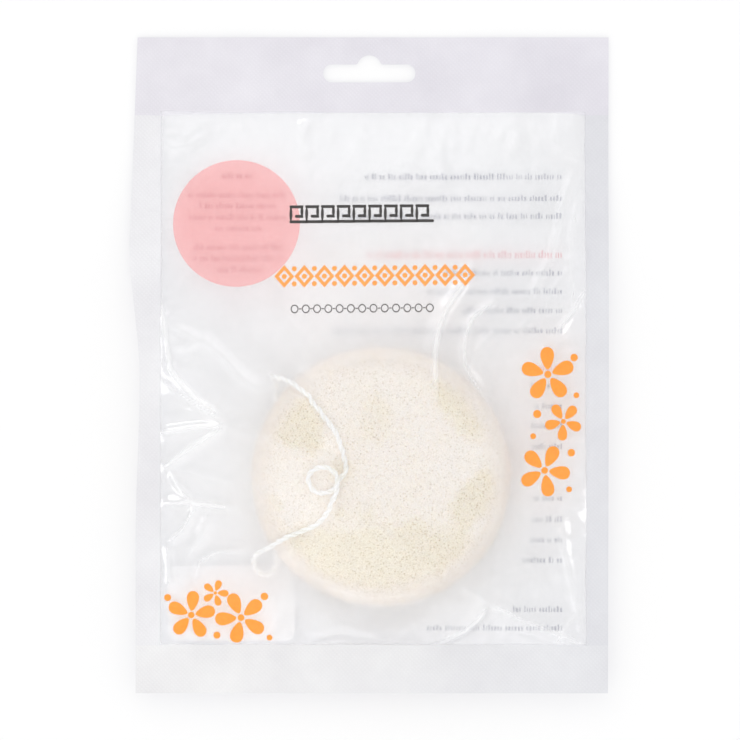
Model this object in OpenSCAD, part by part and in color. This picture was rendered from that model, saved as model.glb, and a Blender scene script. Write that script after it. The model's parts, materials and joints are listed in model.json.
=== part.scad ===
// Round konjac face sponge with a cotton hanging cord, packed in a flat heat-sealed hanging pouch.
// All lengths are millimetres. The pouch lies on its back: +Z is up through its front sheet,
// +Y points to the header with the hang slot and +X to the right as its front is read.

/* [Pouch] */
// Width of the pouch at its widest point
pouch_w = 166; // [160:1:190]
// Height of the pouch from its bottom edge to the top of its header
pouch_h = 227; // [221:1:260]
// Thickness of one plastic sheet
sheet_t = 0.12; // [0.08:0.01:0.2]
// Height of the header band that carries the hang slot
header_h = 27; // [24:1:36]
// Height of the sealed band along the bottom
bottom_seal_h = 16.5; // [10:0.5:20]
// Width of the left seal where the pouch is widest
left_seal_w = 10.6; // [8:0.2:14]
// Width of the right seal where the pouch is widest
right_seal_w = 7.8; // [5:0.2:12]
// How far the left edge leans in from its widest point to the top corner
left_lean = 2.6; // [0:0.1:4]
// How far the left edge is drawn in beside the sponge
left_draw = 3.7; // [2.3:0.1:5]
// How far the left edge stays drawn in at the bottom corner
left_foot = 2.3; // [0:0.1:2.3]
// How far the right edge leans in from the top corner to the bottom corner
right_lean = 0.6; // [0:0.1:2]
// Height of the widest point above the pouch's middle
wide_y = 43; // [30:1:60]
// Depth of the most drawn-in point below the pouch's middle
drawn_y = 5; // [0:1:20]
// Depth below the pouch's middle from which the left edge runs straight
foot_y = 61; // [40:1:80]

/* [Lie of the sheets] */
// Height of the seals beside the sponge above the surface that the pouch lies on
seal_lift = 8; // [5:0.5:11]
// Height of the header above the same surface
header_lift = 1.2; // [0.6:0.1:3]
// How far inside the sponge's rim the front sheet starts to fall away to the seals
front_pad_in = 10.5; // [8.5:0.5:12]
// How far inside the sponge's rim the back sheet's flat pad ends
back_pad_in = 5.5; // [5.5:0.5:6.5]
// Free height between the sponge's dome and the front sheet
front_room = 1.2; // [1:0.1:3]
// Free height between the cord and the front sheet
cord_room = 0.5; // [0.4:0.1:2]
// Free play of the sponge towards the bottom seal
travel_down = 4; // [0:0.5:4]
// Free play of the sponge towards the header
travel_up = 6; // [0:0.5:10]

/* [Hang slot] */
// Width of the slot's straight bar, over its round ends
slot_w = 32; // [28:0.5:34]
// Height of the slot's straight bar
slot_h = 6.2; // [5:0.1:7]
// Radius of the round hook seat above the bar
slot_seat_r = 4.2; // [3.2:0.1:5]
// Height of the hook seat's centre above the bar's centre line
slot_seat_up = 2.1; // [1.2:0.1:3]
// Fillet where the hook seat runs into the bar
slot_fillet_r = 1; // [0.4:0.1:1.4]
// Distance from the pouch's top edge down to the bar's centre line
slot_drop = 12.5; // [9:0.5:16]

/* [Sponge] */
// Diameter of the sponge
sponge_d = 89; // [86:0.5:91]
// Thickness of the sponge at its crown
sponge_t = 26; // [24:0.5:28]
// Radius of the rounded front rim
front_round = 11; // [9:0.5:12]
// Radius of the rounded back rim
back_round = 10; // [9.5:0.5:11]
// Rise of the front's crown above the front rim's rounding
crown = 1.5; // [0.5:0.1:2.5]
// Place of the sponge's centre to the right of the pouch's middle
sponge_x = 4; // [0:0.5:6]
// Distance from the bottom seal up to the sponge's rim
sponge_foot = 13.9; // [12.9:0.2:20]

/* [Cord] */
// Diameter of the twisted cotton cord
cord_d = 1.8; // [1.4:0.1:2]
// Distance from the sponge's rim in to the bore that the cord is threaded through
bore_deep = 8.5; // [7.5:0.5:10.5]
// Height of the bore's axis above the sponge's back
bore_up = 9; // [8:0.5:11]
// Diameter of the knot that is drawn into the sponge
knot_d = 4.8; // [4:0.1:6]

/* [Label] */
// Width of the blank label on the back sheet
label_w = 46; // [30:1:46]
// Height of the blank label
label_h = 28; // [16:1:28]
// Thickness of the label
label_t = 0.08; // [0.05:0.01:0.15]

/* [Hidden] */
$fn = 96;

// Room kept between the sponge and the back sheet, and around the cord in its bore and knot pocket
sponge_gap = 0.3;
bore_gap = 0.1;
pocket_gap = 0.25;
// How far a cut runs past the face that it opens
over = 1;
// Length of threaded cord that shows at each mouth of the bore before the free cord starts
stitch_out = 1.4;

// Edges of the clear window between the seals
half_w = pouch_w / 2;
half_h = pouch_h / 2;
win_top = half_h - header_h;
win_bottom = bottom_seal_h - half_h;
win_left = left_seal_w - half_w;
win_right = half_w - right_seal_w;
label_right = win_left + label_w;
label_top = win_bottom + label_h;

// The sponge's place, and the height of the front sheet's underside over it
sponge_r = sponge_d / 2;
sponge_y = win_bottom + sponge_foot + sponge_r;
front_pad_r = sponge_r - front_pad_in;
back_pad_r = sponge_r - back_pad_in;
sponge_z = sheet_t + sponge_gap;
front_z = sponge_z + sponge_t + front_room;
bore_in = sponge_r - bore_deep;
bore_half = sqrt(sponge_r * sponge_r - bore_in * bore_in) + stitch_out;

// Cells of the sheets' grids across and along the label and across and along the rest
label_cols = 8;
rest_cols = 18;
label_rows = 6;
rest_rows = 28;
seal_cols = 2;
// How the sheets sag between the seals and the pads: 1 is straight, more hangs lower
sag_power = 1.15;
// How far the pads run on past the sponge's free play
pad_ease = 0.8;
// Half width of the front sheet's flat top over the cord, and how steeply it falls beside that
cord_flat = 3.5;
cord_fall = 0.55;
// Share of the dome's rounding, out from its flat part, that the front sheet follows
dome_share = 0.96;

// The free cord's route from the bore's upper mouth to its curl, from the middle of the sponge's back
upper_run = [
    [-36, 29.8, 9], [-36.2, 32, 9.6], [-37, 33.9, 11.6], [-37.6, 34.7, 14.2],
    [-37.4, 34.6, 16.8], [-35.6, 34.2, 19], [-32.9, 33.4, 20.7], [-29.9, 31.9, 22],
    [-26.4, 29.3, 24.4], [-24.4, 27.5, 25.4], [-23.1, 25.2, 25.8], [-20.9, 22.9, 26],
    [-19.1, 20.4, 26.2], [-16.8, 17.5, 26.5], [-15, 14.3, 26.6], [-13.7, 10.8, 26.8],
    [-12.6, 7.4, 26.9], [-11.9, 4.4, 27], [-12.3, 1.9, 27], [-13.8, 0, 27]
];
// The curl's centre, its radii, the angles between which it turns clockwise and its lower and upper heights
curl_at = [-19.8, -0.8];
curl_r = [5, 4.4];
curl_turn = [-24, -378];
curl_z = [27, 29.3];
curl_rings = 20;
// The free cord's route from its curl to the bore's lower mouth
lower_run = [
    [-15.4, -5.6, 29.1], [-17, -8.8, 28.3], [-18.4, -11.8, 27.3], [-20.2, -14.4, 26.7],
    [-23, -16.6, 26.2], [-27, -18.4, 25.8], [-31.4, -19.9, 25.2], [-34.4, -21.6, 23.8],
    [-37, -23.3, 22], [-39.6, -24.7, 20.2], [-42, -26.1, 17.8], [-43.5, -28, 15.2],
    [-43.5, -30.6, 12.6], [-41.9, -33, 10.8], [-39.3, -34, 9.7], [-37, -32.6, 9.1],
    [-36.1, -30.2, 9]
];
cord_sides = 8;

// A smooth step from 0 to 1 as s goes from 0 to 1
function clamp(v, low, high) = min(max(v, low), high);
function ease(s) = let (c = clamp(s, 0, 1)) c * c * (3 - 2 * c);
function spread(a, b, cells) = [for (i = [0 : cells]) a + (b - a) * i / cells];
function tail(list) = [for (i = [1 : len(list) - 1]) list[i]];

// The pouch's outer edges at a height y
function edge_left(y) =
    y > wide_y
        ? left_lean * (y - wide_y) / (half_h - wide_y) - half_w
        : left_draw * ease((wide_y - y) / (wide_y + drawn_y))
            - (left_draw - left_foot) * ease((-drawn_y - y) / (foot_y - drawn_y)) - half_w;
function edge_right(y) = half_w - right_lean * (half_h - y) / pouch_h;

// Height of the plane in which the two sheets are sealed: low at the header, lifted beside the sponge
function seal_z(y) = header_lift
    + (seal_lift - header_lift) * ease((win_top - y) / (win_top - sponge_y - sponge_r));

// How far a place is from the sponge's axis, wherever the sponge slides, and from a pad of radius r round it
function off_axis(x, y) =
    let (near_y = clamp(y, sponge_y - travel_down - pad_ease, sponge_y + travel_up + pad_ease))
    norm([x - sponge_x, y - near_y]);
function off_pad(x, y, r) = max(0, off_axis(x, y) - r);
function off_seal(x, y) = max(0, min(x - win_left, win_right - x, y - win_bottom, win_top - y));
// How far the sheets have risen or sunk from the seals, at 0, to the pad of radius r, at 1
function reach(x, y, r) = let (e = off_seal(x, y)) e > 0 ? pow(e / (e + off_pad(x, y, r)), sag_power) : 0;
// The least height of the front sheet over the sponge's dome, and over its cord, wherever they slide
function over_dome(x, y) =
    let (r = off_axis(x, y), flat_r = sponge_r - front_round, round_r = front_round + front_room)
    r <= flat_r ? front_z - crown * pow(r / flat_r, 2)
    : r > flat_r + dome_share * round_r ? 0
    : front_z - crown - round_r + sqrt(round_r * round_r - pow(r - flat_r, 2));
function over_cord(x, y) = max([
    for (p = cord_route)
        let (
            near_y = clamp(y - sponge_y, p[1] - travel_down, p[1] + travel_up),
            off = norm([x - sponge_x - p[0], y - sponge_y - near_y])
        )
        sponge_z + p[2] + cord_d / 2 + cord_room - cord_fall * max(0, off - cord_flat)
]);
function front_under(x, y) = off_seal(x, y) > 0
    ? max(
        seal_z(y) + (front_z - seal_z(y)) * reach(x, y, front_pad_r),
        over_dome(x, y), over_cord(x, y)
    )
    : seal_z(y);
function back_over(x, y) = seal_z(y) + (sheet_t - seal_z(y)) * reach(x, y, back_pad_r);

// The grid lines that the sheets, seals and label share
grid_x = concat(spread(win_left, label_right, label_cols), tail(spread(label_right, win_right, rest_cols)));
grid_y = concat(spread(win_bottom, label_top, label_rows), tail(spread(label_top, win_top, rest_rows)));

// A closed skin between two grids of points that have the same rows and columns
module skin(upper, lower) {
    rows = len(upper);
    cols = len(upper[0]);
    under = rows * cols;
    function at(r, c) = r * cols + c;
    rim = concat(
        [for (c = [0 : 1 : cols - 1]) at(0, c)],
        [for (r = [1 : 1 : rows - 1]) at(r, cols - 1)],
        [for (c = [cols - 2 : -1 : 0]) at(rows - 1, c)],
        [for (r = [rows - 2 : -1 : 1]) at(r, 0)]
    );
    polyhedron(
        points = concat([for (row = upper) each row], [for (row = lower) each row]),
        faces = concat(
            [for (r = [0 : rows - 2], c = [0 : cols - 2]) [at(r, c), at(r + 1, c + 1), at(r, c + 1)]],
            [for (r = [0 : rows - 2], c = [0 : cols - 2]) [at(r, c), at(r + 1, c), at(r + 1, c + 1)]],
            [for (r = [0 : rows - 2], c = [0 : cols - 2])
                [under + at(r, c), under + at(r, c + 1), under + at(r + 1, c + 1)]],
            [for (r = [0 : rows - 2], c = [0 : cols - 2])
                [under + at(r, c), under + at(r + 1, c + 1), under + at(r + 1, c)]],
            [for (i = [0 : len(rim) - 1])
                let (a = rim[i], b = rim[(i + 1) % len(rim)]) [a, b, under + b]],
            [for (i = [0 : len(rim) - 1])
                let (a = rim[i], b = rim[(i + 1) % len(rim)]) [a, under + b, under + a]]
        )
    );
}

// The outline of the pouch between two heights where both edges run straight
module band(low, high) {
    polygon([
        [edge_left(low), low], [edge_right(low), low], [edge_right(high), high], [edge_left(high), high]
    ]);
}

// The hang slot: a bar with round ends, a round hook seat above it and a fillet on each side of the seat
module hang_slot() {
    bar_top = slot_h / 2;
    fillet_up = bar_top + slot_fillet_r;
    fillet_out = sqrt(pow(slot_seat_r + slot_fillet_r, 2) - pow(fillet_up - slot_seat_up, 2));
    translate([0, half_h - slot_drop]) {
        square([slot_w - slot_h, slot_h], center = true);
        for (side = [-1, 1]) translate([side * (slot_w - slot_h) / 2, 0]) circle(d = slot_h);
        translate([0, slot_seat_up]) circle(r = slot_seat_r);
        difference() {
            translate([-fillet_out, 0]) square([2 * fillet_out, fillet_up]);
            for (side = [-1, 1]) translate([side * fillet_out, fillet_up]) circle(r = slot_fillet_r);
            translate([-fillet_out - over, slot_seat_up + slot_seat_r])
                square([2 * (fillet_out + over), slot_seat_r]);
        }
    }
}

// Points of a round corner of radius r about a centre, from one angle to another
function corner(centre, r, from, to, steps) =
    [for (i = [0 : steps]) let (a = from + (to - from) * i / steps) centre + r * [cos(a), sin(a)]];

// The profile of the sponge from its flat back, round its two rims and over its crown
function sponge_profile() = concat(
    [[0, 0]],
    corner([sponge_r - back_round, back_round], back_round, -90, 0, 8),
    corner([sponge_r - front_round, sponge_t - crown - front_round], front_round, 0, 90, 10),
    [for (i = [4 : -1 : 0])
        let (share = i / 5) [(sponge_r - front_round) * share, sponge_t - crown * share * share]]
);

// Places a shape in the sponge's own frame, whose origin is the middle of its back
module at_sponge() {
    translate([sponge_x, sponge_y, sponge_z]) children();
}

// A rod or hole along the threaded run of the cord
module threaded(d, half) {
    translate([-bore_in, 0, bore_up]) rotate([90, 0, 0]) cylinder(d = d, h = 2 * half, center = true);
}

module sponge() {
    color("linen") at_sponge() difference() {
        rotate_extrude() polygon(sponge_profile());
        threaded(cord_d + 2 * bore_gap, bore_half + over);
        translate([-bore_in, 0, bore_up]) sphere(d = knot_d + 2 * pocket_gap);
    }
}

module cord_stitch() {
    color("white") at_sponge() threaded(cord_d, bore_half);
}

module cord_knot() {
    color("white") at_sponge() difference() {
        translate([-bore_in, 0, bore_up]) sphere(d = knot_d);
        threaded(cord_d, knot_d);
    }
}

// The cord's whole route, the curl's turns by its formula
function curl_point(share) =
    let (a = curl_turn[0] + (curl_turn[1] - curl_turn[0]) * share)
    [
        curl_at[0] + curl_r[0] * cos(a), curl_at[1] + curl_r[1] * sin(a),
        curl_z[0] + (curl_z[1] - curl_z[0]) * ease(2 * share - 0.9)
    ];
cord_ends = [[-bore_in, bore_half, bore_up], [-bore_in, -bore_half, bore_up]];
cord_route = concat(
    [cord_ends[0], cord_ends[0] + [0, cord_d, 0]], upper_run,
    [for (i = [0 : curl_rings]) curl_point(i / curl_rings)],
    lower_run, [cord_ends[1] - [0, cord_d, 0], cord_ends[1]]
);

// The cord's direction at each route point, square to the bore's mouths at its ends
function unit(v) = v / norm(v);
function heading(path, i) =
    i == 0 ? unit(path[1] - path[0])
    : i == len(path) - 1 ? unit(path[i] - path[i - 1])
    : unit(unit(path[i + 1] - path[i]) + unit(path[i] - path[i - 1]));
// A normal carried along the route without twist, one for each point
function carried(path, i, normal) =
    let (t = heading(path, i), n = unit(normal - t * (t * normal)))
    i == len(path) - 1 ? [n] : concat([n], carried(path, i + 1, n));
// One closed tube through a path's points
module tube(path, d, sides) {
    normals = carried(path, 0, [0, 0, 1]);
    count = len(path);
    rings = [
        for (i = [0 : count - 1], k = [0 : sides - 1])
            let (n = normals[i], b = cross(heading(path, i), n), a = 360 * k / sides)
            path[i] + d / 2 * (n * cos(a) + b * sin(a))
    ];
    polyhedron(
        points = concat(rings, [path[0], path[count - 1]]),
        faces = concat(
            [for (i = [0 : count - 2], k = [0 : sides - 1])
                let (next = (k + 1) % sides)
                [i * sides + k, (i + 1) * sides + k, (i + 1) * sides + next]],
            [for (i = [0 : count - 2], k = [0 : sides - 1])
                let (next = (k + 1) % sides)
                [i * sides + k, (i + 1) * sides + next, i * sides + next]],
            [for (k = [0 : sides - 1]) [count * sides, k, (k + 1) % sides]],
            [for (k = [0 : sides - 1])
                [count * sides + 1, (count - 1) * sides + (k + 1) % sides, (count - 1) * sides + k]]
        )
    );
}

module hang_cord() {
    color("white") at_sponge() tube(cord_route, cord_d, cord_sides);
}

// The cord's length, and the least clear gap between runs of it more than a curl's radius apart along it
function run_to(path, i) = i == 0 ? 0 : run_to(path, i - 1) + norm(path[i] - path[i - 1]);
cord_runs = [for (i = [0 : len(cord_route) - 1]) run_to(cord_route, i)];
cord_gap = min([
    for (i = [0 : len(cord_route) - 1], j = [0 : len(cord_route) - 1])
        if (cord_runs[j] - cord_runs[i] > 2 * curl_r[0]) norm(cord_route[j] - cord_route[i]) - cord_d
]);

module front_sheet() {
    color("lavender", 0.35) skin(
        [for (y = grid_y) [for (x = grid_x) [x, y, front_under(x, y) + sheet_t]]],
        [for (y = grid_y) [for (x = grid_x) [x, y, front_under(x, y)]]]
    );
}

module back_sheet() {
    color("lavender", 0.35) skin(
        [for (y = grid_y) [for (x = grid_x) [x, y, back_over(x, y)]]],
        [for (y = grid_y) [for (x = grid_x) [x, y, back_over(x, y) - sheet_t]]]
    );
}

module back_label() {
    xs = [for (i = [0 : label_cols]) grid_x[i]];
    ys = [for (j = [0 : label_rows]) grid_y[j]];
    color("white") skin(
        [for (y = ys) [for (x = xs) [x, y, back_over(x, y) - sheet_t]]],
        [for (y = ys) [for (x = xs) [x, y, back_over(x, y) - sheet_t - label_t]]]
    );
}

// A sealed side band: both sheets fused, from the pouch's outer edge to the window
module side_seal(columns) {
    color("gainsboro") skin(
        [for (j = [0 : len(grid_y) - 1]) [for (x = columns[j]) [x, grid_y[j], seal_z(grid_y[j]) + sheet_t]]],
        [for (j = [0 : len(grid_y) - 1]) [for (x = columns[j]) [x, grid_y[j], seal_z(grid_y[j]) - sheet_t]]]
    );
}

module left_seal() {
    side_seal([for (y = grid_y) spread(edge_left(y), win_left, seal_cols)]);
}

module right_seal() {
    side_seal([for (y = grid_y) spread(win_right, edge_right(y), seal_cols)]);
}

module bottom_seal() {
    color("gainsboro") translate([0, 0, seal_z(win_bottom) - sheet_t])
        linear_extrude(2 * sheet_t) band(-half_h, win_bottom);
}

module header_seal() {
    color("gainsboro") translate([0, 0, header_lift - sheet_t]) linear_extrude(2 * sheet_t) difference() {
        band(win_top, half_h);
        hang_slot();
    }
}

echo(cord_length = cord_runs[len(cord_runs) - 1], least_gap = cord_gap, rings = len(cord_route));

sponge();
hang_cord();
cord_stitch();
cord_knot();
front_sheet();
back_sheet();
header_seal();
bottom_seal();
left_seal();
right_seal();
back_label();
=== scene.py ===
"""Dresses the CAD frame of a konjac sponge with a cotton cord, packed in a heat-sealed hanging pouch."""

import json
import logging
import math
from collections.abc import Iterable
from dataclasses import dataclass, field
from enum import Enum

import bmesh
import bpy
import numpy as np
from mathutils import Matrix, Vector, noise


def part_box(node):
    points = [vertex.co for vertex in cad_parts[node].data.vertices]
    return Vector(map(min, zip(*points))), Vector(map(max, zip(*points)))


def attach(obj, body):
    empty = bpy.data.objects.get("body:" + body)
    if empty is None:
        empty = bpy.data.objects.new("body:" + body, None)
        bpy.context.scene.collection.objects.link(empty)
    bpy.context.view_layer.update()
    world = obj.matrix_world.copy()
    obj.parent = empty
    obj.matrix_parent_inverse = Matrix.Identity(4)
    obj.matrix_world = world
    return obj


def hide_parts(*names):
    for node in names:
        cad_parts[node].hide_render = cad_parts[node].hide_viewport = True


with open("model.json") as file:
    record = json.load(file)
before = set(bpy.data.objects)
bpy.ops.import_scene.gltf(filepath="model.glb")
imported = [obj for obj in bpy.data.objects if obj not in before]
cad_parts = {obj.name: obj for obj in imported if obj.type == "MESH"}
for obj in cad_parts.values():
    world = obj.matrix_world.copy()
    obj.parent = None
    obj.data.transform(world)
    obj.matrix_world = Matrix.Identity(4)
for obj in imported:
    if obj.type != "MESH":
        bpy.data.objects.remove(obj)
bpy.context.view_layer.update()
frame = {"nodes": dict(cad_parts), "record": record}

log = logging.getLogger("konjac_pouch")
MM = 0.001
POUCH = "pouch"
CONTENTS = "sponge_and_cord"
PLASTIC_IOR = 1.5
GRID_SIDES = (np.s_[0, :], np.s_[-1, :], np.s_[:, 0], np.s_[:, -1])

Point = tuple[float, float]
Place = tuple[float, float, float]
Rgba = tuple[float, float, float, float]
Array = np.ndarray
Mesh = bpy.types.Mesh
Piece = bpy.types.Object
Shapes = bmesh.types.BMesh
Socket = bpy.types.NodeSocket
Tree = bpy.types.NodeTree


def linear(hex_colour: str) -> Rgba:
    """Turns an sRGB hex colour to linear light.

    Args:
        hex_colour: The colour as six hex digits after a hash.
    Returns:
        Linear red, green, blue and an alpha of 1.
    """
    parts = [int(hex_colour[i : i + 2], 16) / 255 for i in (1, 3, 5)]
    r, g, b = (p / 12.92 if p <= 0.04045 else ((p + 0.055) / 1.055) ** 2.4 for p in parts)
    return (r, g, b, 1.0)


def add_node(
    tree: Tree, kind: str, inputs: dict[str | int, object], out: str | int = 0, **settings: object
) -> Socket | None:
    """Adds one node, with its settings, values and links.

    Args:
        tree: The node tree that the node joins.
        kind: The node's type, without the words that every type starts with.
        inputs: A value, or a socket to link, for each input by name or number.
        out: The output that is given back, by name or number.
        settings: Properties of the node by name.
    Returns:
        That output, or nothing for a node that has none.
    """
    node = tree.nodes.new(f"ShaderNode{kind}")
    for name, value in settings.items():
        setattr(node, name, value)
    for name, value in inputs.items():
        if isinstance(value, Socket):
            tree.links.new(value, node.inputs[name])
        else:
            node.inputs[name].default_value = value
    return node.outputs[out] if node.outputs else None


def ease(share: Array | float) -> Array | float:
    """A smooth step from 0 to 1 as the share goes from 0 to 1."""
    s = np.clip(share, 0.0, 1.0)
    return s * s * (3 - 2 * s)


def swell(x: Array, y: Array, cell: float, seed: int) -> Array:
    """Smooth noise between -1 and 1 with lumps of about one cell's size.

    Args:
        x: Places along X in millimetres.
        y: Places along Y in millimetres.
        cell: Size of a lump in millimetres.
        seed: Seed of the lattice.
    Returns:
        The noise at each place.
    """
    span = 128
    lattice = np.random.default_rng(seed).uniform(-1, 1, (span, span))
    u, v = x / cell + span / 2, y / cell + span / 2
    i, j = np.floor(u).astype(int), np.floor(v).astype(int)
    fu, fv = ease(u - i), ease(v - j)
    i, j = i % span, j % span
    i2, j2 = (i + 1) % span, (j + 1) % span
    near = lattice[j, i] * (1 - fu) + lattice[j, i2] * fu
    far = lattice[j2, i] * (1 - fu) + lattice[j2, i2] * fu
    return near * (1 - fv) + far * fv


def run_along(line: Array) -> Array:
    """Distance along a line from its start to each of its points."""
    return np.concatenate([[0], np.cumsum(np.linalg.norm(np.diff(line, axis=0), axis=1))])


def box_mm(node: str) -> tuple[Array, Array]:
    """Lowest and highest corner of a CAD node, in millimetres."""
    low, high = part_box(node)
    return np.array(low) / MM, np.array(high) / MM


def finish_piece(
    piece: Piece, body: str, material: bpy.types.Material, replaced: tuple[str, ...] = ()
) -> None:
    """Dresses a piece and fixes it to its body.

    Args:
        piece: The object, in its place.
        body: The CAD body that it moves with.
        material: Its material.
        replaced: CAD nodes that it stands for.
    """
    piece.data.materials.clear()
    piece.data.materials.append(material)
    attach(piece, body)
    if replaced:
        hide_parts(*replaced)
    log.info("%s on %s: %d faces", piece.name, body, len(piece.data.polygons))


def link_data(name: str, data: bpy.types.ID) -> Piece:
    """Puts a mesh, curve, lamp or camera into the scene at the origin.

    Args:
        name: The object's name.
        data: Its mesh, curve, lamp or camera.
    Returns:
        The object.
    """
    piece = bpy.data.objects.new(name, data)
    bpy.context.scene.collection.objects.link(piece)
    return piece


def link_mesh(mesh: Mesh) -> Piece:
    """Puts a mesh into the scene under its own name, shaded smooth."""
    mesh.shade_smooth()
    return link_data(mesh.name, mesh)


def mesh_from(bm: Shapes, name: str) -> Mesh:
    """Turns a bmesh into a mesh and frees it.

    Args:
        bm: The bmesh.
        name: The mesh's name.
    Returns:
        The mesh.
    """
    mesh = bpy.data.meshes.new(name)
    bm.to_mesh(mesh)
    bm.free()
    return mesh


def get_points(mesh: Mesh) -> Array:
    """Reads a mesh's points.

    Args:
        mesh: The mesh.
    Returns:
        A row of X, Y and Z in millimetres for each point.
    """
    points = np.empty(len(mesh.vertices) * 3, np.float32)
    mesh.vertices.foreach_get("co", points)
    return points.reshape(-1, 3).astype(float) / MM


def set_points(mesh: Mesh, points: Array) -> None:
    """Moves a mesh's points to places in millimetres."""
    mesh.vertices.foreach_set("co", (points * MM).astype(np.float32).ravel())
    mesh.update()


def set_share(mesh: Mesh, name: str, values: Array) -> None:
    """Stores one number for each of a mesh's points, for its material to read."""
    layer = mesh.attributes.new(name, "FLOAT", "POINT")
    layer.data.foreach_set("value", values.astype(np.float32))


def slice_across(bm: Shapes, axis: int, places: Iterable[float], near: float) -> None:
    """Cuts faces along lines across an axis.

    Args:
        bm: The faces.
        axis: 0 for lines across X, 1 for lines across Y.
        places: Where the lines cross the axis, in the bmesh's units.
        near: How close to a line a point counts as on it.
    """
    for place in places:
        at, across = Vector((0, 0, 0)), Vector((0, 0, 0))
        at[axis], across[axis] = place, 1
        geom = [*bm.verts, *bm.edges, *bm.faces]
        bmesh.ops.bisect_plane(bm, geom=geom, dist=near, plane_co=at, plane_no=across)


def thicken(piece: Piece, thickness: float, side: int) -> None:
    """Gives a sheet a wall with a crisp rim.

    Args:
        piece: The sheet, whose faces point up.
        thickness: The wall in millimetres.
        side: 1 for a wall above the mesh, -1 for one below it.
    """
    bm = bmesh.new()
    bm.from_mesh(piece.data)
    for edge in bm.edges:
        edge.smooth = not edge.is_boundary
    bm.to_mesh(piece.data)
    bm.free()
    wall = piece.modifiers.new("wall", "SOLIDIFY")
    wall.thickness = thickness * MM
    wall.offset = side
    wall.use_even_offset = False


# Places, sizes and creases


@dataclass(frozen=True)
class Layout:
    """Places and sizes that the pouch and the sponge share, in millimetres."""

    window_low: Point
    window_high: Point
    middle: Place
    radius: float
    height: float
    seal_lift: float
    header_lift: float
    down: float
    up: float
    sheet: float = 0.12
    front_round: float = 11.0
    back_round: float = 10.0
    crown: float = 1.5

    @classmethod
    def from_frame(cls) -> "Layout":
        """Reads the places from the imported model's nodes and its one slide.

        Returns:
            The layout.
        """
        window_low, window_high = box_mm("front_sheet")
        low, high = box_mm("sponge")
        slide = frame["record"]["behaviour"]["joints"][0]["range_m"]
        return cls(
            window_low=(window_low[0], window_low[1]),
            window_high=(window_high[0], window_high[1]),
            middle=((low[0] + high[0]) / 2, (low[1] + high[1]) / 2, low[2]),
            radius=(high[0] - low[0]) / 2,
            height=high[2] - low[2],
            seal_lift=float(np.mean([c[2] for c in box_mm("bottom_seal")])),
            header_lift=float(np.mean([c[2] for c in box_mm("header_seal")])),
            down=-slide[0] / MM,
            up=slide[1] / MM,
        )

    def seal_plane(self, x: Array, y: Array) -> Array:
        """Height of the plane in which the two sheets are fused, with its slight waves."""
        rise = ease((self.window_high[1] - y) / (self.window_high[1] - self.middle[1] - self.radius))
        return self.header_lift + (self.seal_lift - self.header_lift) * rise + self.waves(x, y)

    def waves(self, x: Array, y: Array) -> Array:
        """The slight waves that the heated bar leaves in the seals."""
        return 0.32 * swell(x, y, 23, 3) + 0.16 * swell(x, y, 9, 4)

    def off_rim(self, x: Array, y: Array) -> Array:
        """Distance in from the window's nearest side, 0 outside the window."""
        (x0, y0), (x1, y1) = self.window_low, self.window_high
        return np.maximum(0, np.minimum.reduce(np.broadcast_arrays(x - x0, x1 - x, y - y0, y1 - y)))

    def off_axis(self, x: Array, y: Array) -> Array:
        """Distance to the sponge's axis."""
        return np.hypot(x - self.middle[0], y - self.middle[1])

    def swept_radius(self, x: Array, y: Array) -> Array:
        """Least distance to the sponge's axis as the sponge slides along its free play."""
        near = np.clip(y, self.middle[1] - self.down, self.middle[1] + self.up)
        return np.hypot(x - self.middle[0], y - near)

    def dome(self, r: Array) -> Array:
        """Finds the form of the sponge's front.

        Args:
            r: Distances from its axis.
        Returns:
            The front's height above its back.
        """
        flat_r = self.radius - self.front_round
        past = np.clip(r - flat_r, 0, self.front_round)
        over = self.height - self.crown * np.minimum(r / flat_r, 1) ** 2
        rounded = self.height - self.crown - self.front_round + np.sqrt(self.front_round**2 - past**2)
        return np.where(r <= flat_r, over, rounded)

    def underside(self, r: Array) -> Array:
        """Height of the sponge's back rim above its flat back, at a distance from its axis."""
        past = np.clip(r - (self.radius - self.back_round), 0, self.back_round)
        return self.back_round - np.sqrt(self.back_round**2 - past**2)


@dataclass(frozen=True)
class Pleat:
    """A ridge pinched into a sheet, along a route in millimetres."""

    route: tuple[Point, ...]
    rise: float
    start_width: float
    end_width: float
    lean: float = 0.0
    crest: float = 0.45
    # The rise and width at which a crease's whitening and painted highlight reach full strength
    whitening_and_highlight_rise: float = 1.6
    whitening_and_highlight_width: float = 0.75

    def form(self, x: Array, y: Array) -> tuple[Array, Array]:
        """Finds what the ridge does to the sheet.

        Args:
            x: Places along X in millimetres.
            y: Places along Y in millimetres.
        Returns:
            The height that it adds, and the share of whitening and painted highlight along its sharp fold,
            from 0 to 1.
        """
        steps = [math.dist(a, b) for a, b in zip(self.route, self.route[1:])]
        total, run = sum(steps), 0.0
        best = np.full(x.shape, 1e9)
        side, along = np.zeros(x.shape), np.zeros(x.shape)
        for (ax, ay), (bx, by), step in zip(self.route, self.route[1:], steps):
            ux, uy = (bx - ax) / step, (by - ay) / step
            t = np.clip((x - ax) * ux + (y - ay) * uy, 0, step)
            dx, dy = x - ax - t * ux, y - ay - t * uy
            off = np.hypot(dx, dy)
            nearer = off < best
            best = np.where(nearer, off, best)
            side = np.where(nearer, ux * dy - uy * dx, side)
            along = np.where(nearer, (run + t) / total, along)
            run += step
        # It dies away at both ends
        strength = np.minimum(1, np.sin(math.pi * np.clip(along, 0.02, 0.98)) * 2.2) ** 0.7
        width = self.start_width + (self.end_width - self.start_width) * along
        width = width * (1 + self.lean * np.sign(side))
        slope = np.maximum(0, 1 - (np.sqrt(best**2 + self.crest**2) - self.crest) / width)
        # Whitening and painted highlight along the crest, stronger on the higher ridges
        sharpness = min(1.0, self.rise / self.whitening_and_highlight_rise) ** 1.5
        white = sharpness * np.exp(-((best / self.whitening_and_highlight_width) ** 2))
        return self.rise * slope * strength, white * strength


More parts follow.
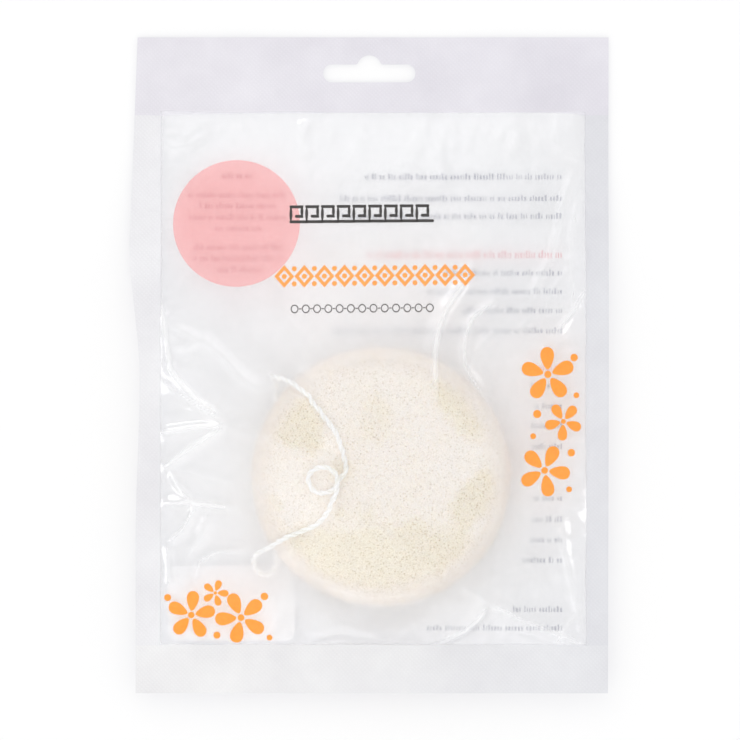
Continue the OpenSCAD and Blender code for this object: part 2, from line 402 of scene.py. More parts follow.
@dataclass(frozen=True)
class Patch:
    """A soft-edged oval on a sheet, in millimetres."""

    x: float
    y: float
    half_length: float
    half_width: float
    turn: float
    strength: float = 1.0

    def share(self, x: Array, y: Array) -> Array:
        """Finds how far places are inside the oval.

        Args:
            x: Places along X in millimetres.
            y: Places along Y in millimetres.
        Returns:
            1 well inside, 0 outside.
        """
        a = math.radians(self.turn)
        u = ((x - self.x) * math.cos(a) + (y - self.y) * math.sin(a)) / self.half_length
        v = (-(x - self.x) * math.sin(a) + (y - self.y) * math.cos(a)) / self.half_width
        ragged = 0.26 * swell(x, y, 8, 11) + 0.14 * swell(x, y, 3.4, 12)
        return self.strength * ease((1.3 + ragged - np.hypot(u, v)) / 0.62)


# Where the front sheet lies on the sponge
TOUCHING = (
    Patch(-24, -20, 12, 7.5, -42),
    Patch(-34, -47, 6, 3, -20, 0.6),
    Patch(0, -66, 36, 14.5, 4),
    Patch(31, -12, 13, 6.5, -66),
    Patch(38, -45, 9, 8, 40),
    Patch(2, -18, 5, 8, 10, 0.45),
    Patch(-10, -36, 5, 4, 0, 0.5),
)

# Each crease's route, rise, width at its start and at its end, and lean
FRONT_PLEATS = tuple(Pleat(*row) for row in (
    (((-73, 26), (-71, 15), (-69.6, 5), (-68.6, -1.6), (-64.4, -7.5), (-58.2, -13), (-49.6, -18.6)),
     1.7, 2.6, 1.5, -0.5),
    (((-73, 9), (-67, 5.6), (-62, 6.4), (-57, 8.4), (-51, 4)), 0.7, 2.0, 2.6, 0.3),
    (((-73, -4.6), (-66, -9.6), (-58, -15.2), (-50.4, -19.4)), 1.1, 3.6, 1.2, -0.2),
    (((-73, -23.6), (-68.6, -22.8), (-60, -21.4), (-49.6, -20.2)), 1.8, 3.2, 1.0, -0.3),
    (((-73, -36.6), (-69.3, -34.5), (-63.1, -29.6), (-55.7, -24.7), (-49.6, -21.0)), 1.5, 2.6, 1.2, -0.3),
    (((-49.6, -20), (-45, -22.4), (-39, -24.4), (-32, -25.6)), 0.5, 1.4, 3.0, 0.0),
    (((-69.3, -35.1), (-66.8, -40.7), (-64.4, -44.4), (-60.6, -47.4)), 1.2, 1.4, 1.6, 0.5),
    (((-73, -48.4), (-69.3, -48.0), (-62.5, -47.4), (-54.5, -48.3), (-46, -49.6)), 1.3, 2.2, 2.0, 0.4),
    (((-60.4, -46.0), (-60.9, -50.5), (-64.4, -56.7), (-69.9, -61.6)), 1.2, 1.6, 1.4, 0.5),
    (((-69.9, -61.0), (-69.8, -66), (-69.3, -71), (-69.6, -78)), 0.9, 1.2, 1.0, 0.2),
    (((-56, -49), (-55.5, -54), (-58, -60), (-63, -66)), 0.8, 3.0, 2.4, -0.2),
    (((-61, -78), (-59.4, -72.7), (-58.2, -67.7), (-53.3, -64.7), (-42.2, -64)), 0.8, 1.4, 1.8, 0.4),
    (((-71, -35), (-62, -36.4), (-54, -38.6), (-46, -39.8)), 0.6, 3.2, 3.0, -0.3),
    (((36, 33), (30.7, 25), (26.5, 19), (23.8, 12), (22.6, 6), (22.4, -1), (22.7, -12)),
     1.7, 2.8, 3.2, -0.2),
    (((44, 22), (35.5, 16), (33.5, 11), (32.4, 5.7), (32.8, 0), (34.5, -4), (38.3, -9.5), (41, -12.3)),
     1.2, 2.2, 1.6, 0.3),
    (((46, 12), (41, 9), (37, 4), (36, -2)), 0.6, 3.0, 2.2, 0.0),
    (((53, 20), (58, 27), (62.4, 36), (65.6, 46), (67.4, 56), (71, 66)), 0.8, 1.8, 1.6, 0.4),
    (((74, 14), (70.6, 22), (69.6, 33), (70.2, 46), (73, 58)), 0.8, 1.2, 1.2, 0.3),
    (((61, 18), (64, 26), (69, 32), (75, 35)), 0.6, 2.0, 1.4, 0.2),
    (((49, 8), (55, 15), (63, 19), (74, 20.5)), 0.6, 2.4, 2.0, 0.0),
    (((75, 27), (73.2, 23), (71.5, 20.2), (68, 15.4), (63.2, 9.2)), 1.1, 1.4, 2.0, 0.3),
    (((-73, 15), (-65.1, 11.9), (-51.3, 3.6), (-43, -5.4), (-35.4, -10.2)), 0.8, 1.6, 3.0, 0.2),
    (((67.2, -46), (66.2, -54), (67.0, -64), (69.6, -75), (72.2, -86), (74.6, -97)), 0.75, 2.2, 1.7, 0.3),
    (((47, -38), (55, -42), (64, -48), (74, -53)), 0.4, 2.8, 2.4, -0.2),
    (((49, -66), (53, -70), (57.4, -75), (61, -81)), 0.55, 3.2, 2.4, -0.2),
    (((20, -98), (26, -95.6), (33, -92), (37.6, -88), (41, -82.6)), 1.4, 1.6, 2.8, 0.3),
    (((41, -82.6), (46.6, -84.6), (53.6, -88.6), (61, -91.4), (68, -94), (75, -97)), 1.3, 2.8, 1.6, -0.3),
    (((41, -82.6), (38, -79), (32, -76)), 0.7, 1.8, 1.4, 0.0),
    (((64, -98), (66.6, -92.6), (70.4, -88.4), (75, -84)), 0.8, 1.2, 1.4, 0.2),
    (((-22, -98), (-18, -94), (-9, -92.6), (-1, -94.6), (4, -98)), 0.7, 1.4, 1.6, 0.3),
    (((-34, 60), (-24, 66), (-10, 68), (4, 66)), 0.35, 5.0, 5.0, 0.0),
    (((-4, 88), (-2, 80), (-6, 70), (-14, 62)), 0.5, 3.0, 5.0, 0.0),
    (((17, 88), (17.6, 80), (13, 71), (6, 62)), 0.5, 2.6, 5.0, 0.2),
    (((29, 88), (26, 80), (24, 72), (27, 60)), 0.5, 2.4, 4.0, -0.2),
    (((-22, 88), (-24, 79), (-21, 70)), 0.65, 3.4, 4.4, 0.2),
    (((-58, 88), (-60, 82), (-66, 77)), 0.6, 3.0, 3.8, 0.2),
    (((-74, 78), (-68, 75), (-62, 76), (-56, 80)), 0.6, 1.4, 2.6, 0.3),
    (((48, 88), (51, 80), (50, 70)), 0.6, 3.0, 4.4, 0.2),
    (((64, 88), (65, 80), (69, 73), (76, 70)), 0.6, 1.8, 1.6, 0.2),
))

BACK_PLEATS = tuple(Pleat(*row) for row in (
    (((-72, 4), (-62, -6), (-52, -22)), 0.8, 3.0, 2.0, 0.2),
    (((-72, -52), (-62, -48), (-50, -50)), 0.7, 2.6, 2.4, -0.2),
    (((72, 18), (60, 8), (48, 2)), 0.7, 3.0, 2.4, 0.2),
    (((72, -30), (60, -30), (50, -34)), 0.6, 2.6, 2.2, 0.0),
    (((54, -96), (46, -82), (34, -74)), 0.7, 2.4, 2.2, 0.0),
))


def settle(
    rim: Array, low: Array, high: Array, load: float, cell: float,
    passes: tuple[int, ...] = (500, 260, 160, 120),
) -> Array:
    """Settles a stretched sheet between two surfaces, on coarse grids first.

    Args:
        rim: Heights that hold along the sheet's four sides.
        low: Surface that the sheet stays above.
        high: Surface that the sheet stays below.
        load: Upward pressure over the sheet's tension, per millimetre.
        cell: Spacing of the full grid in millimetres.
        passes: Passes on each grid, coarsest first.
    Returns:
        The sheet's heights on the full grid.
    """
    sheet: Array | None = None
    for level, count in enumerate(passes):
        step = 2 ** (len(passes) - 1 - level)
        edge, floor, roof = (a[::step, ::step] for a in (rim, low, high))
        if sheet is None:
            sheet = np.clip(edge, floor, roof)
        else:
            rows = np.empty((sheet.shape[0] * 2 - 1, sheet.shape[1]))
            rows[::2], rows[1::2] = sheet, (sheet[1:] + sheet[:-1]) / 2
            sheet = np.empty((rows.shape[0], rows.shape[1] * 2 - 1))
            sheet[:, ::2], sheet[:, 1::2] = rows, (rows[:, 1:] + rows[:, :-1]) / 2
        for side in GRID_SIDES:
            sheet[side] = edge[side]
        parity = np.add.outer(np.arange(sheet.shape[0] - 2), np.arange(sheet.shape[1] - 2)) % 2
        push, over = load * (cell * step) ** 2, 1.75
        for turn in range(2 * count):
            inner = sheet[1:-1, 1:-1]
            around = (sheet[1:-1, :-2] + sheet[1:-1, 2:] + sheet[:-2, 1:-1] + sheet[2:, 1:-1] + push) / 4
            moved = np.clip(inner + over * (around - inner), floor[1:-1, 1:-1], roof[1:-1, 1:-1])
            inner[parity == turn % 2] = moved[parity == turn % 2]
    return sheet


def rest_on(sheet: Array, floor: Array, bend: float = 0.3) -> Array:
    """Keeps a sheet above a surface, with a soft bend where it meets it."""
    over = sheet - floor
    return floor + (over + np.sqrt(over**2 + bend**2)) / 2


def soften(heights: Array) -> Array:
    """Smooths a grid of heights a little, its sides left as they are.

    Args:
        heights: The grid.
    Returns:
        The smoother grid.
    """
    out, inner = heights.copy(), heights[1:-1, 1:-1]
    near = (heights[1:-1, :-2] + heights[1:-1, 2:] + heights[:-2, 1:-1] + heights[2:, 1:-1]) / 4
    out[1:-1, 1:-1] = (inner + near) / 2
    return out


@dataclass
class Drape:
    """The lie of the pouch's two sheets, as grids of heights in millimetres."""

    layout: Layout
    cord_line: Array
    columns: int = 184
    rows: int = 232
    cord_reach: float = 1.35
    clearance: float = 0.45
    slack_lift: float = 1.1
    pillow: float = 0.0045
    sag: float = -0.0015
    underlay: float = 0.34
    apart: float = 0.3
    x: Array = field(init=False)
    y: Array = field(init=False)
    gx: Array = field(init=False)
    gy: Array = field(init=False)
    rim: Array = field(init=False)
    swept: Array = field(init=False)
    touching: Array = field(init=False)
    crease_whitening_and_highlight: Array = field(init=False)
    front: Array = field(init=False)
    back: Array = field(init=False)

    def __post_init__(self) -> None:
        """Settles the back sheet and then the front one."""
        lay = self.layout
        self.x = np.linspace(lay.window_low[0], lay.window_high[0], self.columns + 1)
        self.y = np.linspace(lay.window_low[1], lay.window_high[1], self.rows + 1)
        self.gx, self.gy = np.meshgrid(self.x, self.y)
        self.rim = lay.seal_plane(self.gx, self.gy)
        self.swept = lay.swept_radius(self.gx, self.gy)
        on_top = ease((lay.radius - 3 - lay.off_axis(self.gx, self.gy)) / 6)
        self.touching = np.clip(sum(p.share(self.gx, self.gy) for p in TOUCHING), 0, 1) * on_top
        self.back = self._settle_back()
        self.front = self._settle_front()

    def _pleats(self, pleats: tuple[Pleat, ...], seed: int) -> tuple[Array, Array]:
        """The ridges of a sheet with small puckers along its seals.

        Args:
            pleats: The sheet's larger ridges.
            seed: Seed of the puckers.
        Returns:
            The height that they add, and the share of whitening and painted highlight along their folds.
        """
        rng = np.random.default_rng(seed)
        (x0, y0), (x1, y1) = self.layout.window_low, self.layout.window_high
        puckers: list[Pleat] = []
        for upright, fixed, start, stop, inward in (
            (True, x0, y0, y1, 1), (True, x1, y0, y1, -1), (False, y0, x0, x1, 1), (False, y1, x0, x1, -1),
        ):
            at = start + rng.uniform(2, 8)
            while at < stop - 3:
                reach, drift = rng.uniform(5, 15) * inward, rng.uniform(-4, 4)
                foot, middle = (fixed - 1.5 * inward, at), (fixed + reach * 0.5, at + drift * 0.4)
                ends = (foot, middle, (fixed + reach, at + drift))
                route = ends if upright else tuple((b, a) for a, b in ends)
                rise, start_width = rng.uniform(0.12, 0.4), rng.uniform(0.8, 1.6)
                puckers.append(Pleat(route, rise, start_width, rng.uniform(1.2, 2.6)))
                at += rng.uniform(5, 12)
        large, small = ([p.form(self.gx, self.gy) for p in group] for group in (pleats, puckers))
        height = np.maximum.reduce([h for h, _ in large]) + sum(h for h, _ in small)
        return height, np.maximum.reduce([white for _, white in (*large, *small)])

    def _settle_back(self) -> Array:
        """Lifts the back sheet to its seals and lets the sponge press it down.

        Returns:
            Heights of its top side.
        """
        lay, r = self.layout, self.swept
        roof = lay.middle[2] - 0.15 + lay.underside(r) + np.where(r > lay.radius, 40.0, 0.0)
        floor = np.minimum(self.underlay, roof)
        sheet = settle(self.rim, floor, roof, self.sag, self.x[1] - self.x[0])
        fade = ease(lay.off_rim(self.gx, self.gy) / 5) * ease((r - lay.radius + 4) / 8)
        folds, _ = self._pleats(BACK_PLEATS, 41)
        sheet = sheet + fade * (folds + 0.25 * swell(self.gx, self.gy, 13, 21))
        return self._hold_rim(np.clip(soften(sheet), floor, roof))

    def _settle_front(self) -> Array:
        """Lays the front sheet over the sponge and its cord, wherever they slide.

        Returns:
            Heights of its underside.
        """
        lay, gx, gy, r = self.layout, self.gx, self.gy, self.swept
        lift = self.slack_lift * (1 - self.touching) * ease((lay.radius - 2 - r) / 8)
        floor = np.where(r < lay.radius, lay.middle[2] + lay.dome(r) + self.clearance + lift, -1.0)
        for px, py, pz in self.cord_line[::2]:
            off = np.hypot(gx - px, gy - np.clip(gy, py - lay.down, py + lay.up))
            hump = pz + np.sqrt(np.maximum(0, self.cord_reach**2 - off**2))
            floor = np.maximum(floor, np.where(off < self.cord_reach, hump, -1.0))
        floor = np.maximum(floor, self.back + self.apart)
        open_air = np.full(gx.shape, 60.0)
        sheet = settle(self.rim, floor, open_air, self.pillow, self.x[1] - self.x[0])
        fade = ease(lay.off_rim(gx, gy) / 3.0) * (0.18 + 0.82 * ease((r - lay.radius + 7) / 9))
        waves = 0.35 * swell(gx, gy, 17, 31) + 0.16 * swell(gx, gy, 7, 32)
        folds, self.crease_whitening_and_highlight = self._pleats(FRONT_PLEATS, 40)
        return self._hold_rim(rest_on(soften(sheet + fade * (folds + waves)), floor - 0.05))

    def _hold_rim(self, sheet: Array) -> Array:
        """Puts a sheet's four sides back on the seals."""
        for side in GRID_SIDES:
            sheet[side] = self.rim[side]
        return sheet

    def sample(self, heights: Array, x: Array, y: Array) -> Array:
        """Reads a grid of heights between its points.

        Args:
            heights: One of the grids.
            x: Places along X in millimetres.
            y: Places along Y in millimetres.
        Returns:
            The height at each place.
        """
        u = np.clip((x - self.x[0]) / (self.x[1] - self.x[0]), 0, self.columns - 1e-6)
        v = np.clip((y - self.y[0]) / (self.y[1] - self.y[0]), 0, self.rows - 1e-6)
        i, j = u.astype(int), v.astype(int)
        fu, fv = u - i, v - j
        near = heights[j, i] * (1 - fu) + heights[j, i + 1] * fu
        far = heights[j + 1, i] * (1 - fu) + heights[j + 1, i + 1] * fu
        return near * (1 - fv) + far * fv


# Finishes


def let_light_pass(tree: Tree, surface: Socket, tint: Rgba) -> Socket:
    """Lets light on its way to what a thin film covers go straight through the film.

    Args:
        tree: The film's node tree.
        surface: Its shader.
        tint: The colour that the light takes.
    Returns:
        The shader for every kind of ray.
    """
    shadow = add_node(tree, "LightPath", {}, "Is Shadow Ray")
    diffuse = shadow.node.outputs["Is Diffuse Ray"]
    passing = add_node(tree, "Math", {0: shadow, 1: diffuse}, operation="MAXIMUM")
    through = add_node(tree, "BsdfTransparent", {"Color": tint})
    return add_node(tree, "MixShader", {0: passing, 1: surface, 2: through})


@dataclass(frozen=True)
class Finish:
    """A procedural finish, named for what the real one is and how it was made."""

    name: str

    def surface(self, tree: Tree, place: Socket) -> Socket:
        """Adds the finish's nodes to a tree, on a piece's own coordinates, and gives its shader."""
        raise NotImplementedError

    def material(self) -> bpy.types.Material:
        """Builds the finish's material.

        Returns:
            The material.
        """
        material = bpy.data.materials.new(self.name)
        material.use_nodes = True
        tree = material.node_tree
        tree.nodes.clear()
        surface = self.surface(tree, add_node(tree, "TexCoord", {}, "Object"))
        add_node(tree, "OutputMaterial", {"Surface": surface})
        return material


@dataclass(frozen=True)
class FilmPlastic(Finish):
    """Cast polyethylene film, milky in the roll: it blurs what lies behind it and veils it a little."""

    name: str = "cast_polyethylene_film"
    tint: str = "#F2F2F5"
    through_tint: str = "#F7F7F9"
    contact_tint: str = "#F1F2EE"
    milk: float = 0.055
    lifted_milk: float = 0.13
    blur: float = 0.27
    touching_blur: float = 0.105
    whitening_and_highlight_milk: float = 0.2
    gloss: float = 0.4
    gloss_blur: float = 0.165

    def surface(self, tree: Tree, place: Socket) -> Socket:
        """Mixes clear film with a share of milk that grows where it is lifted or cloudy, and with white milk
        along the creases that is partly the film's stress whitening and partly a painted highlight.

        Args:
            tree: The material's node tree.
            place: A piece's own coordinates.
        Returns:
            The shader.
        """
        lifted, crease_whitening_and_highlight, gap = (
            add_node(tree, "Attribute", {}, "Fac", attribute_name=name)
            for name in ("lifted", "crease_whitening_and_highlight", "gap")
        )
        # The drawn film has faint waves some 4 mm long that break up its gloss
        ripple = add_node(
            tree, "TexNoise", {"Vector": place, "Scale": 1 / (4 * MM), "Detail": 3.0, "Roughness": 0.6}
        )
        bump = add_node(tree, "Bump", {"Height": ripple, "Strength": 0.35, "Distance": 0.12 * MM})
        # Cloudy milkiness in patches about 12 mm across
        cloud = add_node(tree, "TexNoise", {"Vector": place, "Scale": 1 / (12 * MM), "Detail": 4.0})
        cloudy = add_node(
            tree, "MapRange",
            {"Value": cloud, "From Min": 0.3, "From Max": 0.7, "To Min": 0.75, "To Max": 1.25},
        )
        haze = add_node(
            tree, "Math", {0: lifted, 1: self.lifted_milk, 2: self.milk}, operation="MULTIPLY_ADD"
        )
        veil = add_node(tree, "Math", {0: haze, 1: cloudy}, operation="MULTIPLY", use_clamp=True)
        # Along sharp folds the milk grows and turns white: partly the film's stress whitening, partly a
        # painted highlight on the crease lines
        veil_with_whitening_and_highlight = add_node(
            tree, "Math", {0: crease_whitening_and_highlight, 1: self.whitening_and_highlight_milk, 2: veil},
            operation="MULTIPLY_ADD", use_clamp=True,
        )
        milk_tint_with_whitening_and_highlight = add_node(
            tree, "Mix", {0: crease_whitening_and_highlight, 6: linear(self.tint), 7: linear("#FFFFFF")}, 2, data_type="RGBA"
        )
        # Little is blurred where the film lies close to it
        blur = add_node(tree, "MapRange", {"Value": gap, "To Min": self.touching_blur, "To Max": self.blur})
        clear_tint = add_node(
            tree, "Mix", {0: lifted, 6: linear(self.contact_tint), 7: linear(self.through_tint)}, 2,
            data_type="RGBA",
        )
        # The haze is inside the film and its skin is smooth, so its gloss is sharper than what is behind
        skin = {
            "IOR": PLASTIC_IOR, "Normal": bump, "Coat IOR": PLASTIC_IOR, "Coat Normal": bump,
            "Coat Weight": self.gloss, "Coat Roughness": self.gloss_blur,
        }
        clear = add_node(
            tree, "BsdfPrincipled",
            {"Base Color": clear_tint, "Roughness": blur, "Transmission Weight": 1.0, **skin},
        )
        milk = add_node(tree, "BsdfPrincipled", {"Base Color": milk_tint_with_whitening_and_highlight, "Roughness": 0.26, **skin})
        film = add_node(tree, "MixShader", {0: veil_with_whitening_and_highlight, 1: clear, 2: milk})
        return let_light_pass(tree, film, linear("#FEFEFE"))


@dataclass(frozen=True)
class HeatSeal(Finish):
    """Two films fused by a heated knurled bar: frosted, nearly opaque, with the bar's fine diamonds."""

    tint: str
    right_tint: str
    pressed: str = "#EFEEF0"
    milk: float = 0.8
    knurl: float = 1.05
    emboss: float = 0.05

    def surface(self, tree: Tree, place: Socket) -> Socket:
        """Mixes frosted film with a little clear film, both pressed with the bar's knurl.

        Args:
            tree: The material's node tree.
            place: A piece's own coordinates.
        Returns:
            The shader.
        """
        # Two sets of ridges a millimetre apart that cross at a right angle
        sets = []
        for turn in (45, -45):
            turned = add_node(tree, "Mapping", {"Vector": place, "Rotation": (0, 0, math.radians(turn))})
            wave = {"Vector": turned, "Scale": 2 * math.pi / (20 * self.knurl * MM), "Distortion": 2.0}
            shake = {"Detail": 2.0, "Detail Scale": 0.7}
            sets.append(add_node(
                tree, "TexWave", {**wave, **shake}, "Fac", wave_type="BANDS", bands_direction="X"
            ))
        knurl = add_node(tree, "Math", {0: sets[0], 1: sets[1]}, operation="MULTIPLY")
        grain = add_node(tree, "TexNoise", {"Vector": place, "Scale": 1 / (0.6 * MM), "Detail": 3.0})
        relief = add_node(tree, "Math", {0: knurl, 1: 0.6, 2: grain}, operation="MULTIPLY_ADD")
        bump = add_node(tree, "Bump", {"Height": relief, "Strength": 0.4, "Distance": self.emboss * MM})
        # The seal is greyer where the bar pressed harder, in broad clouds and in its fine diamonds
        cloud = add_node(
            tree, "TexNoise", {"Vector": place, "Scale": 1 / (26 * MM), "Detail": 5.0, "Roughness": 0.55}
        )
        pressed = add_node(tree, "Math", {0: relief, 1: 0.2, 2: cloud}, operation="MULTIPLY_ADD")
        share = add_node(
            tree, "MapRange",
            {"Value": pressed, "From Min": 0.4, "From Max": 0.9, "To Min": 1.0, "To Max": 0.0},
        )
        # The grey deepens across the pouch from its left tint to its right tint
        across = add_node(tree, "SeparateXYZ", {0: place}, "X")
        rightward = add_node(tree, "MapRange", {"Value": across, "From Min": -50 * MM, "From Max": 75 * MM})
        hue = add_node(
            tree, "Mix", {0: rightward, 6: linear(self.tint), 7: linear(self.right_tint)}, 2,
            data_type="RGBA",
        )
        tone = add_node(
            tree, "Mix", {0: share, 6: hue, 7: linear(self.pressed)}, 2,
            data_type="RGBA", blend_type="MULTIPLY",
        )
        body = {"IOR": PLASTIC_IOR, "Normal": bump}
        frost = add_node(tree, "BsdfPrincipled", {"Base Color": tone, "Roughness": 0.42, **body})
        clear = add_node(
            tree, "BsdfPrincipled",
            {"Base Color": linear("#FAF9FD"), "Roughness": 0.35, "Transmission Weight": 1.0, **body},
        )
        seal = add_node(tree, "MixShader", {0: self.milk, 1: clear, 2: frost})
        return let_light_pass(tree, seal, linear("#EEEEF1"))


@dataclass(frozen=True)
class KonjacFoam(Finish):
    """Konjac root fibre, boiled, foamed in a mould and frozen: cream, matte and full of fine open pores."""

    name: str = "konjac_foam"
    cream: str = "#F9EDD8"
    pale: str = "#FBF0E5"
    painted_pore_shade: str = "#C6AD82"
    painted_rim_shade: str = "#EFE1D0"

    def surface(self, tree: Tree, place: Socket) -> Socket:
        """Pits a clouded cream skin with pores of three sizes, the largest of them in the mesh.

        Args:
            tree: The material's node tree.
            place: A piece's own coordinates.
        Returns:
            The shader.
        """
        pits, rim = (
            add_node(tree, "Attribute", {}, "Fac", attribute_name=name) for name in ("painted_pore_shade", "rim")
        )
        # Pores too small for the mesh, 0.8 mm apart, over a finer net of fibre walls
        fine, net = (
            add_node(tree, "TexVoronoi", {"Vector": place, "Scale": 1 / (apart * MM)}, feature="F1")
            for apart in (0.8, 0.48)
        )
        coarse = add_node(
            tree, "TexNoise", {"Vector": place, "Scale": 1 / (1.3 * MM), "Detail": 4.0, "Roughness": 0.65}
        )
        cloud = add_node(tree, "TexNoise", {"Vector": place, "Scale": 1 / (9 * MM), "Detail": 3.0})
        ends = ("From Min", "From Max", "To Min", "To Max")
        luck, hole, mesh_hole = (
            add_node(tree, "MapRange", {"Value": value, **dict(zip(ends, values))})
            for value, values in (
                (fine.node.outputs["Color"], (0.3, 0.8, 0.28, 0.9)),
                (fine, (0.12, 0.4, 1.0, 0.0)),
                (net, (0.1, 0.55, 0.33, 0.0)),
            )
        )
        lucky = add_node(tree, "Math", {0: hole, 1: luck}, operation="MULTIPLY")
        fine_pit = add_node(tree, "Math", {0: lucky, 1: mesh_hole}, operation="ADD")
        # The pores' bottoms take a darker colour: painted shade in the recesses
        depth = add_node(tree, "Math", {0: fine_pit, 1: pits}, operation="MAXIMUM")
        tone = add_node(
            tree, "Mix", {0: cloud, 6: linear(self.cream), 7: linear(self.pale)}, 2, data_type="RGBA"
        )
        # Painted shade: a darker, pinker tone over the rounded rim, where the side turns away from the
        # light, then the pores' dark bottoms
        for share, colour in ((rim, self.painted_rim_shade), (depth, self.painted_pore_shade)):
            tone = add_node(tree, "Mix", {0: share, 6: tone, 7: linear(colour)}, 2, data_type="RGBA")
        relief = add_node(tree, "Math", {0: fine_pit, 1: -1.0, 2: coarse}, operation="MULTIPLY_ADD")
        bump = add_node(tree, "Bump", {"Height": relief, "Strength": 0.7, "Distance": 0.25 * MM})
        # Light goes a few millimetres into the foam
        body = {
            "Base Color": tone, "Roughness": 0.92, "Normal": bump, "Subsurface Weight": 0.25,
            "Subsurface Radius": (1.0, 0.8, 0.5), "Subsurface Scale": 2.5 * MM,
        }
        return add_node(tree, "BsdfPrincipled", body)


@dataclass(frozen=True)
class CottonCord(Finish):
    """Bleached cotton yarn of two twisted plies: soft bright white, with painted shade faintly darker in the
    grooves.
    """

    name: str = "bleached_cotton_yarn"
    white: str = "#FFFEF9"
    painted_groove_shade: str = "#EEE9DC"

    def surface(self, tree: Tree, place: Socket) -> Socket:
        """Paints shade into the grooves between the plies and raises a fine fibre.

        Args:
            tree: The material's node tree.
            place: A piece's own coordinates.
        Returns:
            The shader.
        """
        deep = add_node(tree, "Attribute", {}, "Fac", attribute_name="painted_groove_shade")
        # Loose fibre ends, drawn at 0.25 mm so that they show
        fibres = add_node(tree, "TexNoise", {"Vector": place, "Scale": 1 / (0.25 * MM), "Detail": 2.0})
        # Painted shade, darker towards the grooves between the plies
        tone = add_node(
            tree, "Mix", {0: deep, 6: linear(self.white), 7: linear(self.painted_groove_shade)}, 2, data_type="RGBA"
        )
        bump = add_node(tree, "Bump", {"Height": fibres, "Strength": 0.5, "Distance": 0.08 * MM})
        body = {
            "Base Color": tone, "Normal": bump, "Roughness": 0.85, "Sheen Weight": 0.4,
            "Sheen Roughness": 0.4, "Subsurface Weight": 0.5, "Subsurface Radius": (1.0, 1.0, 1.0),
            "Subsurface Scale": 0.6 * MM,
        }
        return add_node(tree, "BsdfPrincipled", body)


@dataclass(frozen=True)
class PrintInk(Finish):
    """Gravure ink on film: flat colour with a slight mottle, thin enough that a little shows through it."""

    colour: str
    cover: float = 0.92
    mottle: float = 0.06

    def surface(self, tree: Tree, place: Socket) -> Socket:
        """Mottles the ink's colour and lets light that goes through it take that colour.

        Args:
            tree: The material's node tree.
            place: A piece's own coordinates.
        Returns:
            The shader.
        """
        base = linear(self.colour)
        paler = (*(min(1.0, c * (1 + 4 * self.mottle)) for c in base[:3]), 1.0)
        cells = add_node(tree, "TexNoise", {"Vector": place, "Scale": 1 / (1.2 * MM), "Detail": 3.0})
        share = add_node(
            tree, "MapRange",
            {"Value": cells, "From Min": 0.35, "From Max": 0.75, "To Min": 0.0, "To Max": 0.5},
        )
        tone = add_node(tree, "Mix", {0: share, 6: base, 7: paler}, 2, data_type="RGBA")
        # A ray meets the ink's two faces, so each covers its part of the whole
        face = 1 - math.sqrt(1 - self.cover)
        ink = add_node(tree, "BsdfPrincipled", {"Base Color": tone, "Roughness": 0.45, "Alpha": face})
        dye = (*(math.sqrt(1 - self.cover * (1 - c)) for c in base[:3]), 1.0)
        return let_light_pass(tree, ink, dye)


@dataclass(frozen=True)
class LabelStock(Finish):
    """Coated paper label: an even cool white with a faint fibre mottle."""

    name: str = "coated_paper_label"
    white: str = "#FCFCFC"
    fibre: str = "#F8F7F9"

    def surface(self, tree: Tree, place: Socket) -> Socket:
        """Mottles the white with a darker fibre in clouds about 2 mm across.

        Args:
            tree: The material's node tree.
            place: A piece's own coordinates.
        Returns:
            The shader.
        """
        fibre = add_node(tree, "TexNoise", {"Vector": place, "Scale": 1 / (2.2 * MM), "Detail": 5.0})
        tone = add_node(
            tree, "Mix", {0: fibre, 6: linear(self.white), 7: linear(self.fibre)}, 2, data_type="RGBA"
        )
        return add_node(tree, "BsdfPrincipled", {"Base Color": tone, "Roughness": 0.6})


@dataclass(frozen=True)
class StudioPaper(Finish):
    """Seamless white paper: matte, so that it keeps a soft shadow."""

    name: str = "seamless_white_paper"
    albedo: str = "#F7F7F7"

    def surface(self, tree: Tree, place: Socket) -> Socket:
        """Gives the paper its even white."""
        return add_node(tree, "BsdfDiffuse", {"Color": linear(self.albedo)})


# Sub-assemblies


